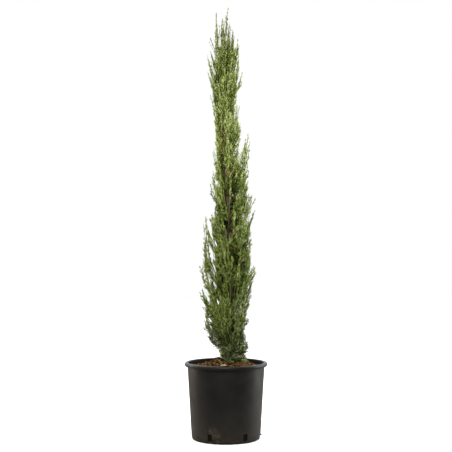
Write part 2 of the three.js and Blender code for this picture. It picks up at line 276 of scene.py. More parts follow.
def make_piece(slot: str, nodes: list[str], name: str, *arrays, **options) -> Object:
    """Makes a piece of the plant that rides on the root body and stands for solids of the part.

    Args:
        slot: Material slot of the record that the piece would take its finish from; not used.
        nodes: Solids that the piece stands for.
        name: Name of the piece.
        *arrays: Vertices, faces and materials, as make_object takes them.
        **options: Tints and crease, as make_object takes them.

    Returns:
        The piece.
    """
    piece = make_object(name, *arrays, **options)
    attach(piece, "root")
    if nodes:
        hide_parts(*nodes)
    LOG.info("%s: %d triangles", name, len(piece.data.loops) - 2 * len(piece.data.polygons))
    return piece


def ring_faces(rows: int, columns: int) -> Array:
    """Numbers the quads of a grid that closes round its columns.

    Args:
        rows: Rows of vertices.
        columns: Vertices in each row.

    Returns:
        Array of shape rows - 1 by columns by 4, facing out where rows climb and columns turn left.
    """
    row, column = np.meshgrid(np.arange(rows - 1), np.arange(columns), indexing="ij")
    after = (column + 1) % columns
    low, high = row * columns, (row + 1) * columns
    return np.stack([low + column, low + after, high + after, high + column], axis=-1)


def pole_fans(rows: int, columns: int) -> Array:
    """Numbers the triangles that close a ring grid in two poles, whose vertices follow the grid's.

    Args:
        rows: Rows of vertices.
        columns: Vertices in each row.

    Returns:
        The first row's triangles, then the last row's, by 3.
    """
    ring = np.arange(columns)
    after = (ring + 1) % columns
    last = (rows - 1) * columns
    pole = np.full(columns, rows * columns)
    return np.concatenate([
        np.stack([pole, after, ring], axis=-1),
        np.stack([last + ring, last + after, pole + 1], axis=-1),
    ])


def circle(count: int) -> Array:
    """Returns evenly spaced angles of a full turn."""
    return 2.0 * np.pi * np.arange(count) / count


def polar(angle: Array, radius: Array | float = 1.0) -> Array:
    """Returns level vectors of some length, by 3, in the directions of angles from the right."""
    x = radius * np.cos(angle)
    return np.stack([x, radius * np.sin(angle), np.zeros_like(x)], axis=-1)


def lathed(section: Array, angle: Array) -> Array:
    """Turns a section of radius and height about the upright: rows by angles by 3."""
    return polar(angle, section[:, :1]) + section[:, 1:, None] * UP


def turned_side(along: Array, aside: Array, turn: Array) -> Array:
    """Gives sides of axes, square to them and first to aside: first * cos(turn) + second * sin(turn)."""
    first = unit(np.cross(along, aside))
    second = np.cross(along, first)
    return first * np.cos(turn)[..., None] + second * np.sin(turn)[..., None]


def leaned(along: Array, side: Array, angle: Array) -> Array:
    """Gives directions that lean off axes to a side: along * cos(angle) + side * sin(angle)."""
    return along * np.cos(angle)[..., None] + side * np.sin(angle)[..., None]


def swept_tubes(paths: Array, radii: Array, sides: int, across: Array) -> tuple[Array, list[Array]]:
    """Carries a round section along many paths at once and closes both ends in a point.

    point = path + radius * (side * cos a + over * sin a), with side and over square to the path.

    Args:
        paths: Points of the paths, tubes by steps by 3.
        radii: Radius at each step, tubes by steps, or by sides as well where the section has relief.
        sides: Points round the section.
        across: A direction for each tube that is square to the plane it bends in, tubes by 3.

    Returns:
        Vertices and face arrays.
    """
    tubes, steps, _ = paths.shape
    ahead = unit(np.gradient(paths, axis=1))
    side = unit(across[:, None] - (across[:, None] * ahead).sum(-1, keepdims=True) * ahead)
    over = np.cross(ahead, side)
    reach = radii[..., None] if radii.ndim == 2 else radii
    section = (
        side[:, :, None] * (reach * np.cos(circle(sides)))[..., None]
        + over[:, :, None] * (reach * np.sin(circle(sides)))[..., None]
    )
    rings = (paths[:, :, None] + section).reshape(-1, 3)
    first = np.arange(tubes)[:, None] * steps * sides
    last = first + (steps - 1) * sides
    quads = first[..., None, None] + ring_faces(steps, sides)[None]
    foot = rings.shape[0] + np.repeat(np.arange(tubes)[:, None], sides, axis=1)
    column = np.arange(sides)
    after = (column + 1) % sides
    bottom = np.stack([foot, first + after, first + column], axis=-1)
    top = np.stack([last + column, last + after, foot + tubes], axis=-1)
    end_radius = radii.reshape(tubes, steps, -1)[:, -1].mean(-1)[:, None]
    points = np.concatenate([rings, paths[:, 0], paths[:, -1] + ahead[:, -1] * end_radius])
    return points, [quads.reshape(-1, 4), np.concatenate([bottom, top]).reshape(-1, 3)]


def slivers(foot: Array, belly: Array, tip: Array, radius: Array, across: Array) -> tuple[Array, Array]:
    """Makes closed slivers of four faces, each from a point over two belly corners to a point.

    The corners lie on both sides of the belly, belly +- radius * side, and a little off the line from
    foot to tip.

    Args:
        foot: Lower points, n by 3.
        belly: Middles of the widest places, n by 3.
        tip: Upper points, n by 3.
        radius: Half the width of each, n.
        across: A direction for each that isn't along it, n by 3.

    Returns:
        Vertices, n by 4 by 3, and triangles, n by 4 by 3.
    """
    offset = 0.6
    ahead = unit(tip - foot)
    side = unit(np.cross(across, ahead))
    over = np.cross(ahead, side)
    wide, deep = radius[:, None] * side, offset * radius[:, None] * over
    points = np.stack([foot, belly + wide + deep, belly - wide + deep, tip], axis=1)
    pattern = np.array([(0, 1, 3), (0, 3, 2), (0, 2, 1), (3, 1, 2)])
    return points, 4 * np.arange(len(foot))[:, None, None] + pattern


# Finishes


@dataclass(frozen=True)
class MouldedPolyethylene:
    """Black polyethylene as it leaves an injection mould, handled, rained on and a little soiled.

    To the eye it is a warm near-black with a soft, broad shine, dusty towards the foot, with dried
    soil round the drain slots.
    """

    body: str = "#070706"
    dust: str = "#2c2822"
    soil: str = "#4c4135"
    cloud_mm: float = 55.0
    cloud_share: float = 0.25
    dust_top_mm: float = 150.0
    dust_share: float = 0.5
    soil_top_mm: float = 42.0
    soil_share: float = 0.4
    smear_mm: float = 24.0
    stain_at: tuple[float, float, float] = (-46.0, -110.0, 27.0)
    stain_mm: float = 40.0
    stain_core_mm: float = 12.0
    grain_mm: float = 1.6
    grain_depth_mm: float = 0.2
    rough: Range = (0.36, 0.6)
    gloss: float = 0.2

    def material(self) -> Material:
        """Builds the material: dust in clouds, soil low on the wall, and a fine mould grain as bump.

        Returns:
            The pot's material. The grain is drawn at 1.6 mm, coarser than the real 0.3 mm, to show.
        """
        material, tree = new_material("polyethylene_moulded_black")
        place = add_node(tree, "TexCoord").outputs["Object"]
        height = add_node(tree, "SeparateXYZ", {"Vector": place}).outputs["Z"]
        cloud = add_node(tree, "TexNoise", {
            "Vector": place, "Scale": 1.0 / (self.cloud_mm * MM), "Detail": 5.0, "Roughness": 0.6,
        })
        dusty = add_node(tree, "MapRange", {"Value": cloud, "From Min": 0.35, "From Max": 0.75})
        film = add_node(tree, "MapRange", {
            "Value": height, "From Min": self.dust_top_mm * MM, "From Max": 0.0, "To Max": self.dust_share,
        })
        dust = add_node(
            tree, "Math", {0: dusty, 1: self.cloud_share, 2: film}, operation="MULTIPLY_ADD", use_clamp=True
        )
        coat = add_node(
            tree, "Mix", {0: dust, 6: linear(self.body), 7: linear(self.dust)}, data_type="RGBA"
        )
        low = add_node(tree, "MapRange", {
            "Value": height, "From Min": self.soil_top_mm * MM, "From Max": 0.0,
        }, interpolation_type="SMOOTHSTEP")
        away = add_node(tree, "VectorMath", {0: place, 1: Vector(self.stain_at) * MM}, operation="DISTANCE")
        stain = add_node(tree, "MapRange", {
            "Value": away, "From Min": self.stain_mm * MM, "From Max": self.stain_core_mm * MM,
        }, interpolation_type="SMOOTHSTEP")
        soiled = add_node(tree, "Math", {0: low, 1: self.soil_share, 2: stain}, operation="MULTIPLY_ADD")
        smear = add_node(tree, "TexNoise", {
            "Vector": place, "Scale": 1.0 / (self.smear_mm * MM), "Detail": 8.0, "Roughness": 0.7,
        })
        patch = add_node(tree, "MapRange", {"Value": smear, "From Min": 0.42, "From Max": 0.68})
        dirt = add_node(tree, "Math", {0: soiled, 1: patch}, operation="MULTIPLY", use_clamp=True)
        colour = add_node(tree, "Mix", {0: dirt, 6: coat, 7: linear(self.soil)}, data_type="RGBA")
        smooth, rough = self.rough
        roughness = add_node(tree, "MapRange", {
            "Value": cloud, "From Min": 0.3, "From Max": 0.7, "To Min": smooth, "To Max": rough,
        })
        grain = add_node(tree, "TexNoise", {
            "Vector": place, "Scale": 1.0 / (self.grain_mm * MM), "Detail": 2.0,
        })
        bump = add_node(tree, "Bump", {
            "Height": grain, "Strength": 0.12, "Distance": self.grain_depth_mm * MM,
        })
        shader = add_node(tree, "BsdfPrincipled", {
            "Base Color": colour, "Roughness": roughness, "Normal": bump, "IOR": 1.51,
            "Specular IOR Level": self.gloss,
        })
        add_node(tree, "OutputMaterial", {"Surface": shader})
        return material


@dataclass(frozen=True)
class CrumbledSurface:
    """A rough, broken natural surface: two browns in patches with crumbs as bump, and no shine."""

    name: str
    dark: str
    light: str
    patch_mm: float
    crumb_mm: float
    bump_mm: float
    stretch: float = 1.0
    roughness: float = 0.9

    def material(self) -> Material:
        """Builds the material from one noise for colour and one for relief.

        Returns:
            The material. A stretch over 1 draws both noises out along the height, as fibres.
        """
        material, tree = new_material(self.name)
        place = add_node(tree, "TexCoord").outputs["Object"]
        drawn = add_node(tree, "Mapping", {"Vector": place, "Scale": (1.0, 1.0, 1.0 / self.stretch)})
        patch = add_node(tree, "TexNoise", {
            "Vector": drawn, "Scale": 1.0 / (self.patch_mm * MM), "Detail": 6.0, "Roughness": 0.65,
        })
        share = add_node(tree, "MapRange", {"Value": patch, "From Min": 0.32, "From Max": 0.68})
        colour = add_node(
            tree, "Mix", {0: share, 6: linear(self.dark), 7: linear(self.light)}, data_type="RGBA"
        )
        crumb = add_node(tree, "TexNoise", {
            "Vector": drawn, "Scale": 1.0 / (self.crumb_mm * MM), "Detail": 4.0,
        })
        bump = add_node(tree, "Bump", {"Height": crumb, "Strength": 0.7, "Distance": self.bump_mm * MM})
        shader = add_node(tree, "BsdfPrincipled", {
            "Base Color": colour, "Normal": bump, "Roughness": self.roughness, "IOR": 1.45,
            "Specular IOR Level": 0.1,
        })
        add_node(tree, "OutputMaterial", {"Surface": shader})
        return material


# Composted bark mix: nearly black where it is moist, with paler fibres.
POTTING_SOIL = CrumbledSurface("potting_mix_composted_bark", "#241810", "#5a3c25", 9.0, 3.5, 2.5)
# The same mix against the wall and in the drain slots, almost black: painted shade, so that the slots read
# dark.
SHADE_PAINTED_SOIL = CrumbledSurface("potting_mix_moist", "#070504", "#1a120c", 9.0, 3.5, 2.5, roughness=0.7)
# The pot's wall inside, over the mix: black and dull polyethylene, painted shade for the inside of the pot.
SHADE_PAINTED_WALL = CrumbledSurface(
    "polyethylene_soiled_inside", "#050504", "#120e0a", 20.0, 1.6, 0.2, roughness=0.8
)
# Young cypress bark: thin, fibrous, peeling in long strips, dark brown under grey-brown ridges.
FIBROUS_BARK = CrumbledSurface("cypress_bark_fibrous", "#292219", "#6a5848", 7.0, 3.0, 1.2, stretch=7.0)
# Last year's twigs: thin olive brown skin, dull.
WOODY_TWIG = CrumbledSurface(
    "cypress_twig_woody", "#3f3a1e", "#5f5730", 14.0, 2.5, 0.4, stretch=4.0, roughness=0.75
)
# This year's twigs: still clad in scale leaves, yellowish green with a little shine.
GREEN_TWIG = CrumbledSurface(
    "cypress_twig_green", "#6a7836", "#98a255", 14.0, 2.5, 0.4, stretch=4.0, roughness=0.6
)


class ChipTint(Enum):
    """Colours of shredded bark chips, dark and light, from the sapwood side to the cork side."""

    ORANGE = ("#462e15", "#6c4a22")
    TAN = ("#5c4a28", "#836c3d")
    RUSSET = ("#321e0d", "#4d3016")
    DARK = ("#150f08", "#2a2010")
    GREY = ("#332e20", "#534936")
    PALE = ("#a5886a", "#c4a98b")

    def material(self) -> Material:
        """Builds this tint of split bark, with fibres as bump."""
        dark, light = self.value
        return CrumbledSurface(f"bark_chip_{self.name.lower()}", dark, light, 8.0, 2.2, 0.8).material()


class LeafTint(Enum):
    """Base colours of cypress sprays, clad in waxy scale leaves a millimetre across."""

    SHADE = "#2b3710"
    DEEP = "#516321"
    MID = "#798d3b"
    BRIGHT = "#a3b45b"
    FRESH = "#d1da94"
    GREEN_DEEP = "#4a5e21"
    GREEN_MID = "#6e8338"
    GREEN_LIGHT = "#97a85a"
    COOL_DEEP = "#4a522f"
    COOL_MID = "#72784f"
    COOL_PALE = "#a3a784"
    STRAW = "#927443"

    def material(self) -> Material:
        """Builds this tint: one plain colour, dealt out by spray, under a thin wax bloom."""
        material, tree = new_material(f"scale_leaf_{self.name.lower()}")
        shader = add_node(tree, "BsdfPrincipled", {
            "Base Color": linear(self.value), "Roughness": 0.55, "IOR": 1.45, "Specular IOR Level": 0.14,
        })
        add_node(tree, "OutputMaterial", {"Surface": shader})
        return material


class Ladder(Enum):
    """Leaf tints from dark to light: green in the crown's middle, warm high up, cool at both ends."""

    GREEN = ("SHADE", "GREEN_DEEP", "GREEN_MID", "GREEN_LIGHT", "BRIGHT")
    WARM = ("SHADE", "DEEP", "MID", "BRIGHT", "FRESH")
    COOL = ("SHADE", "COOL_DEEP", "COOL_MID", "COOL_PALE", "COOL_PALE")


TINT_NAMES = [tint.name for tint in LeafTint]
# Numbers of the tints on each ladder, ladders by steps.
LADDER_STEPS = np.array([[TINT_NAMES.index(name) for name in ladder.value] for ladder in Ladder])


# Rule of the crown


@dataclass(frozen=True)
class Tier:
    """One whorl of shoots: root, climb, number, the first's bearing and the side shoots on each."""

    name: str
    root: float
    rise: float
    shoots: int
    turn: float
    plumes: int
    boughs: bool = False


TIERS = (
    Tier("foot", 279, 80, 4, 0, 28),
    Tier("skirt", 299, 185, 4, 45, 34),
    Tier("low", 366, 190, 5, 18, 32, boughs=True),
    Tier("broad", 468, 190, 5, 54, 35, boughs=True),
    Tier("waist", 588, 190, 5, 18, 34),
    Tier("middle", 715, 190, 5, 54, 30),
    Tier("upper", 845, 190, 4, 0, 32),
    Tier("neck", 975, 190, 4, 45, 26),
    Tier("tuft", 1105, 190, 4, 0, 28),
    Tier("crest", 1225, 215, 5, 36, 18),
)


@dataclass(frozen=True)
class Shoots:
    """All shoots of the crown as arrays, in the order of the source."""

    item: Array
    level: Array
    bearing: Array
    floor: Array
    ceiling: Array
    half_sector: Array
    root: Array
    rise: Array
    reach: Array
    names: tuple[str, ...]

    @classmethod
    def planned(
        cls, tiers: tuple[Tier, ...], root_jitter: float = 16.0, band_gap: float = 1.0,
        rises: Range = (0.92, 1.08), reaches: Range = (0.9, 1.0),
    ) -> "Shoots":
        """Plans the shoots tier by tier, with the band of the flow that each keeps to.

        Args:
            tiers: The whorls from the foot to the crest.
            root_jitter: How far apart a whorl's roots are, in height.
            band_gap: Gap between the bands of two whorls.
            rises: Least and most climb of a shoot against its whorl's.
            reaches: Least and most reach of a shoot against the outline's.

        Returns:
            The shoots.
        """
        counts = [tier.shoots for tier in tiers]
        level = np.repeat(np.arange(len(tiers)), counts)
        number = np.concatenate([np.arange(count) for count in counts])
        roots = np.array([tier.root for tier in tiers])
        middles = (roots[1:] + roots[:-1]) / 2.0
        item = SHOOT_NUMBERS * level + number
        turn = np.array([tier.turn for tier in tiers])[level]
        shoots = np.array(counts)[level]
        rise = np.array([tier.rise for tier in tiers])[level]
        return cls(
            item=item,
            level=level,
            bearing=np.radians(turn + 360.0 * number / shoots),
            floor=np.concatenate([[-np.inf], middles + band_gap])[level],
            ceiling=np.concatenate([middles - band_gap, [np.inf]])[level],
            half_sector=np.pi / shoots,
            root=roots[level] + root_jitter * (chance(item, 1) - 0.5),
            rise=rise * drawn(rises, item, 2),
            reach=drawn(reaches, item, 3),
            names=tuple(f"{tiers[a].name}_{b + 1}" for a, b in zip(level, number)),
        )

    @property
    def across(self) -> Array:
        """Returns level directions square to the shoots' bearings, by 3."""
        return polar(self.bearing + np.pi / 2.0)


@dataclass(frozen=True)
class Crown:
    """The trunk's line, the crown's outline and the flow of shoots inside it, as in the source."""

    foot_x: float = 18.0
    tip_x: float = 6.0
    bow: float = 11.0
    sweep: float = 11.5
    depth_bow: float = 5.0
    trunk_tip: float = 1405.0
    foot_radius: float = 11.0
    tip_radius: float = 2.2
    flare: float = 5.0
    flare_height: float = 26.0
    climb: float = 190.0
    bend: float = 1.4
    depth: float = 62.0
    ground_gap: float = 4.0
    shoots: Shoots = field(default_factory=lambda: Shoots.planned(TIERS))

    def trunk_axis(self, height: Array) -> Array:
        """Gives the trunk's middle: a lean from foot to tip, less a bow, plus a slow S.

        Args:
            height: Heights over the floor.

        Returns:
            Points in the shape of height, by 3.
        """
        height = np.asarray(height, float)
        share = np.clip((height - MULCH_TOP) / (TOP_HEIGHT - MULCH_TOP), 0.0, 1.0)
        wave = np.sin(2.0 * np.pi * share)
        x = lerp(self.foot_x, self.tip_x, share) - self.bow * np.sin(np.pi * share) + self.sweep * wave
        return np.stack([x, self.depth_bow * wave, height], axis=-1)

    def trunk_radius(self, height: Array) -> Array:
        """Gives the trunk's radius: an even taper plus a root flare that dies away with height."""
        share = np.clip((height - MULCH_TOP) / (self.trunk_tip - MULCH_TOP), 0.0, 1.0)
        flare = self.flare * np.exp(-(height - MULCH_TOP) / self.flare_height)
        return lerp(self.foot_radius, self.tip_radius, share) + flare

    def reach_at(self, height: Array, bearing: Array) -> Array:
        """Gives the outline's distance from the trunk, blended from left to right by the bearing.

        Args:
            height: Heights over the floor.
            bearing: Bearings round the trunk, 0 on the right.

        Returns:
            Distances in the common shape of both.
        """
        rows = OUTLINE
        z = np.clip(height, rows[0, 0], rows[-1, 0])
        row = np.clip(np.searchsorted(rows[:, 0], z, side="right") - 1, 0, len(rows) - 2)
        share = smoothstep(z, rows[row, 0], rows[row + 1, 0])
        left = lerp(rows[row, 1], rows[row + 1, 1], share)
        right = lerp(rows[row, 2], rows[row + 1, 2], share)
        return (left + right) / 2.0 + (right - left) / 2.0 * np.cos(bearing)

    def point(self, height: Array, bearing: Array, share: Array) -> Array:
        """Gives the point at a height, a bearing and a share of the reach."""
        return self.trunk_axis(height) + polar(bearing, share * self.reach_at(height, bearing))

    def flow(self, points: Array) -> tuple[Array, Array, Array]:
        """Finds where points lie in the flow of shoots.

        Args:
            points: Points, n by 3.

        Returns:
            Their bearings, shares of the reach, and the heights where shoots through them are rooted.
        """
        away = points - self.trunk_axis(points[..., 2])
        bearing = np.arctan2(away[..., 1], away[..., 0])
        share = np.hypot(away[..., 0], away[..., 1]) / self.reach_at(points[..., 2], bearing)
        return bearing, share, points[..., 2] - self.climb * share ** self.bend

    def shoot_path(self, index: Array, t: Array) -> Array:
        """Gives the point a share t along shoots: out from the trunk, bending up to the outline."""
        shoots = self.shoots
        t = np.clip(t, 0.0, None)
        height = shoots.root[index] + shoots.rise[index] * t ** self.bend
        return self.point(height, shoots.bearing[index], shoots.reach[index] * t)

    def beside_stem(self, index: Array, t: Array, turn: Array, spread: Array) -> Array:
        """Gives points beside shoots' stems, in the space that each shoot keeps to.

        Args:
            index: Numbers of the shoots.
            t: Places along the stems, from 0 to 1.
            turn: Angles round the stems from the side, over the top and back.
            spread: Shares of the room between a stem and the walls of its space.

        Returns:
            Points, n by 3.
        """
        shoots = self.shoots
        _, share, root = self.flow(self.shoot_path(index, t))
        over = np.minimum(self.depth, shoots.ceiling[index] - root)
        under = np.minimum(self.depth, root - shoots.floor[index])
        lift = np.sin(turn) * spread * np.where(np.sin(turn) > 0.0, over, under)
        bearing = shoots.bearing[index] + np.cos(turn) * spread * shoots.half_sector[index]
        height = root + lift + self.climb * share ** self.bend
        return self.point(np.maximum(height, MULCH_TOP + self.ground_gap), bearing, share)


# Pot and potting mix


@dataclass(frozen=True)
class Pot:
    """Round, tapered nursery pot with a beaded lip, a rounded foot and six drain slots."""

    height: float = 268.0
    rim_radius: float = 146.0
    lip_height: float = 14.0
    lip_reach: float = 10.4
    lip_points: int = 11
    lip_fullness: float = 0.8
    base_radius: float = 121.5
    wall: float = 2.4
    rounding: float = 12.0
    slots: int = 6
    slot_turn: float = -117.0
    slot_width: float = 17.5
    slot_heights: tuple[float, ...] = (9.6, 12.0, 14.0, 15.5, 17.0, 25.0, 33.6)
    wall_heights: tuple[float, ...] = (45, 75, 115, 155, 195, 230, 243)
    crease: float = 0.9
    crease_heights: Range = (14, 17)
    slot_cells: int = 4
    wall_cells: int = 24
    raised: float = 0.6
    # Radius and height of the section's corners: under the foot with its standing ring, and on the floor
    under: Rows = (
        (40.0, 0.6), (95.0, 0.6), (101.0, 0.0), (109.5, 0.0), (114.0, 1.0), (117.5, 2.9), (119.4, 5.6),
    )
    floor: Rows = ((113.0, 3.1), (109.5, 2.4), (60.0, 2.4))
    # The same from the wall: out from its radius and up from the lip's lower edge, or from the top
    throat: Rows = ((-0.2, -1.2), (0.2, 2.2), (2.2, 2.4))
    brim: Rows = ((-0.4, -0.2), (-1.7, -0.9), (-2.4, -2.6))
    # The moulding pip on the right: place across the wall, steps out from the wall and radius at each
    pip_at: Range = (-4, 15)
    pip_steps: tuple[float, ...] = (-3.0, 1.0, 3.2)
    pip_radii: tuple[float, ...] = (3.4, 3.0, 1.6)
    pip_sides: int = 10
    sharp_deg: float = 50.0

    @property
    def wall_radius(self) -> float:
        """Returns the wall's outer radius under the lip."""
        return self.rim_radius - self.lip_reach

    def taper(self, z: Array, radius: float) -> Array:
        """Gives a wall with a quarter round of some radius at its foot, which then widens evenly."""
        below = np.sqrt(np.maximum(radius ** 2 - np.maximum(self.rounding - z, 0.0) ** 2, 0.0))
        share = (z - self.rounding) / (self.height - self.lip_height - self.rounding)
        widening = np.maximum(share, 0.0) * (self.wall_radius - self.base_radius)
        return self.base_radius - self.rounding + below + widening

    def outer_radius(self, z: Array) -> Array:
        """Gives the wall's outer radius: the taper with a shallow step over the foot."""
        step = 1.0 - smoothstep(z, *self.crease_heights)
        return self.taper(z, self.rounding) - self.crease * step

    def inner_radius(self, z: Array | float) -> Array:
        """Gives the wall's inner radius: the taper with a smaller quarter round."""
        return self.taper(np.asarray(z, float), self.rounding - self.wall)

    def profile(self) -> tuple[Array, int, int]:
        """Draws the wall's section from under the foot, up, over the lip and down the inside.

        Returns:
            Points of radius and height, the row of the slots' lower edge outside, and the row of
            their lower edge inside. Inside rows run down as outside rows run up.
        """
        outside_z = np.array(self.slot_heights + self.wall_heights)
        inside_z = outside_z[::-1]
        bead = self.lip_height / 2.0
        angle = np.radians(np.linspace(-90.0, 90.0, self.lip_points))
        rows = np.concatenate([
            self.under,
            np.stack([self.outer_radius(outside_z), outside_z], axis=-1),
            np.array(self.throat) + (self.wall_radius, self.height - self.lip_height),
            np.stack([
                self.rim_radius - bead + bead * np.cos(angle) ** self.lip_fullness,
                self.height - bead + bead * np.sin(angle),
            ], axis=-1),
            np.array(self.brim) + (self.wall_radius, self.height),
            np.stack([self.inner_radius(inside_z), inside_z], axis=-1),
            self.floor,
        ])
        return rows, len(self.under), len(rows) - len(self.floor) - 1

    def build(self) -> Object:
        """Lathes the section, leaves the slots' cells out and lines the slots with jambs.

        Returns:
            The pot.
        """
        rows, low_out, low_in = self.profile()
        half = np.degrees(np.arcsin(self.slot_width / 2.0 / self.base_radius))
        pitch = 360.0 / self.slots
        across = np.linspace(-half, half, self.slot_cells + 1)
        between = np.linspace(half, pitch - half, self.wall_cells + 1)[1:-1]
        sector = np.concatenate([across, between])
        slot = np.arange(self.slots)
        angle = np.radians(self.slot_turn + (pitch * slot[:, None] + sector).ravel())
        points = lathed(rows, angle).reshape(-1, 3)
        number = np.arange(len(points)).reshape(len(rows), len(angle))
        quads = ring_faces(*number.shape)
        kept = np.ones(quads.shape[:2], bool)
        slot_columns = (slot[:, None] * len(sector) + np.arange(self.slot_cells)).ravel()
        steps = len(self.slot_heights) - 1
        kept[np.ix_(np.arange(low_out, low_out + steps), slot_columns)] = False
        kept[np.ix_(np.arange(low_in - steps, low_in), slot_columns)] = False
        # Faces of the inner wall, and the fan of the inside floor, take the second material: painted shade
        # inside the pot.
        shade_painted_rows = np.arange(len(rows) - 1) >= low_in - len(self.slot_heights + self.wall_heights)
        jambs = np.concatenate([self.jamb(number, low_out, low_in, i * len(sector), steps) for i in slot])
        poles = np.array([self.raised, self.wall])[:, None] * UP
        pip_points, pip_faces = self.pip()
        pip_faces = [len(points) + len(poles) + block for block in pip_faces]
        return make_piece(
            "pot", ["pot"], "pot_shell",
            np.concatenate([points, poles, pip_points]),
            [quads[kept], jambs, pole_fans(*number.shape), *pip_faces],
            [MouldedPolyethylene().material(), SHADE_PAINTED_WALL.material()],
            tints=np.concatenate([
                np.broadcast_to(shade_painted_rows[:, None], kept.shape)[kept],
                np.zeros(len(jambs)),
                np.repeat([0, 1], len(angle)),
                np.zeros(sum(len(block) for block in pip_faces)),
            ]),
            crease_deg=self.sharp_deg,
        )

    def pip(self) -> tuple[Array, list[Array]]:
        """Makes the small round pip that the mould leaves at the right of the foot."""
        path = np.array([(self.base_radius + step, *self.pip_at) for step in self.pip_steps])
        return swept_tubes(path[None], np.array([self.pip_radii]), self.pip_sides, UP[None])

    def jamb(self, number: Array, low_out: int, low_in: int, column: int, steps: int) -> Array:
        """Lists the quads that line one slot from the outer wall to the inner wall.

        Args:
            number: Vertex numbers by row and column.
            low_out: Row of the slot's lower edge outside.
            low_in: Row of the slot's lower edge inside.
            column: The slot's first column.
            steps: Rows of cells that the slot takes up.

        Returns:
            Quads, k by 4.
        """
        out = number[low_out:low_out + steps + 1, column:column + self.slot_cells + 1]
        inn = number[low_in - steps:low_in + 1, column:column + self.slot_cells + 1][::-1]
        sides = [
            (out[0, :-1], out[0, 1:], inn[0, 1:], inn[0, :-1]),
            (out[:-1, -1], out[1:, -1], inn[1:, -1], inn[:-1, -1]),
            (out[-1, 1:], out[-1, :-1], inn[-1, :-1], inn[-1, 1:]),
            (out[1:, 0], out[:-1, 0], inn[:-1, 0], inn[1:, 0]),
        ]
        return np.concatenate([np.stack(side, axis=-1) for side in sides])


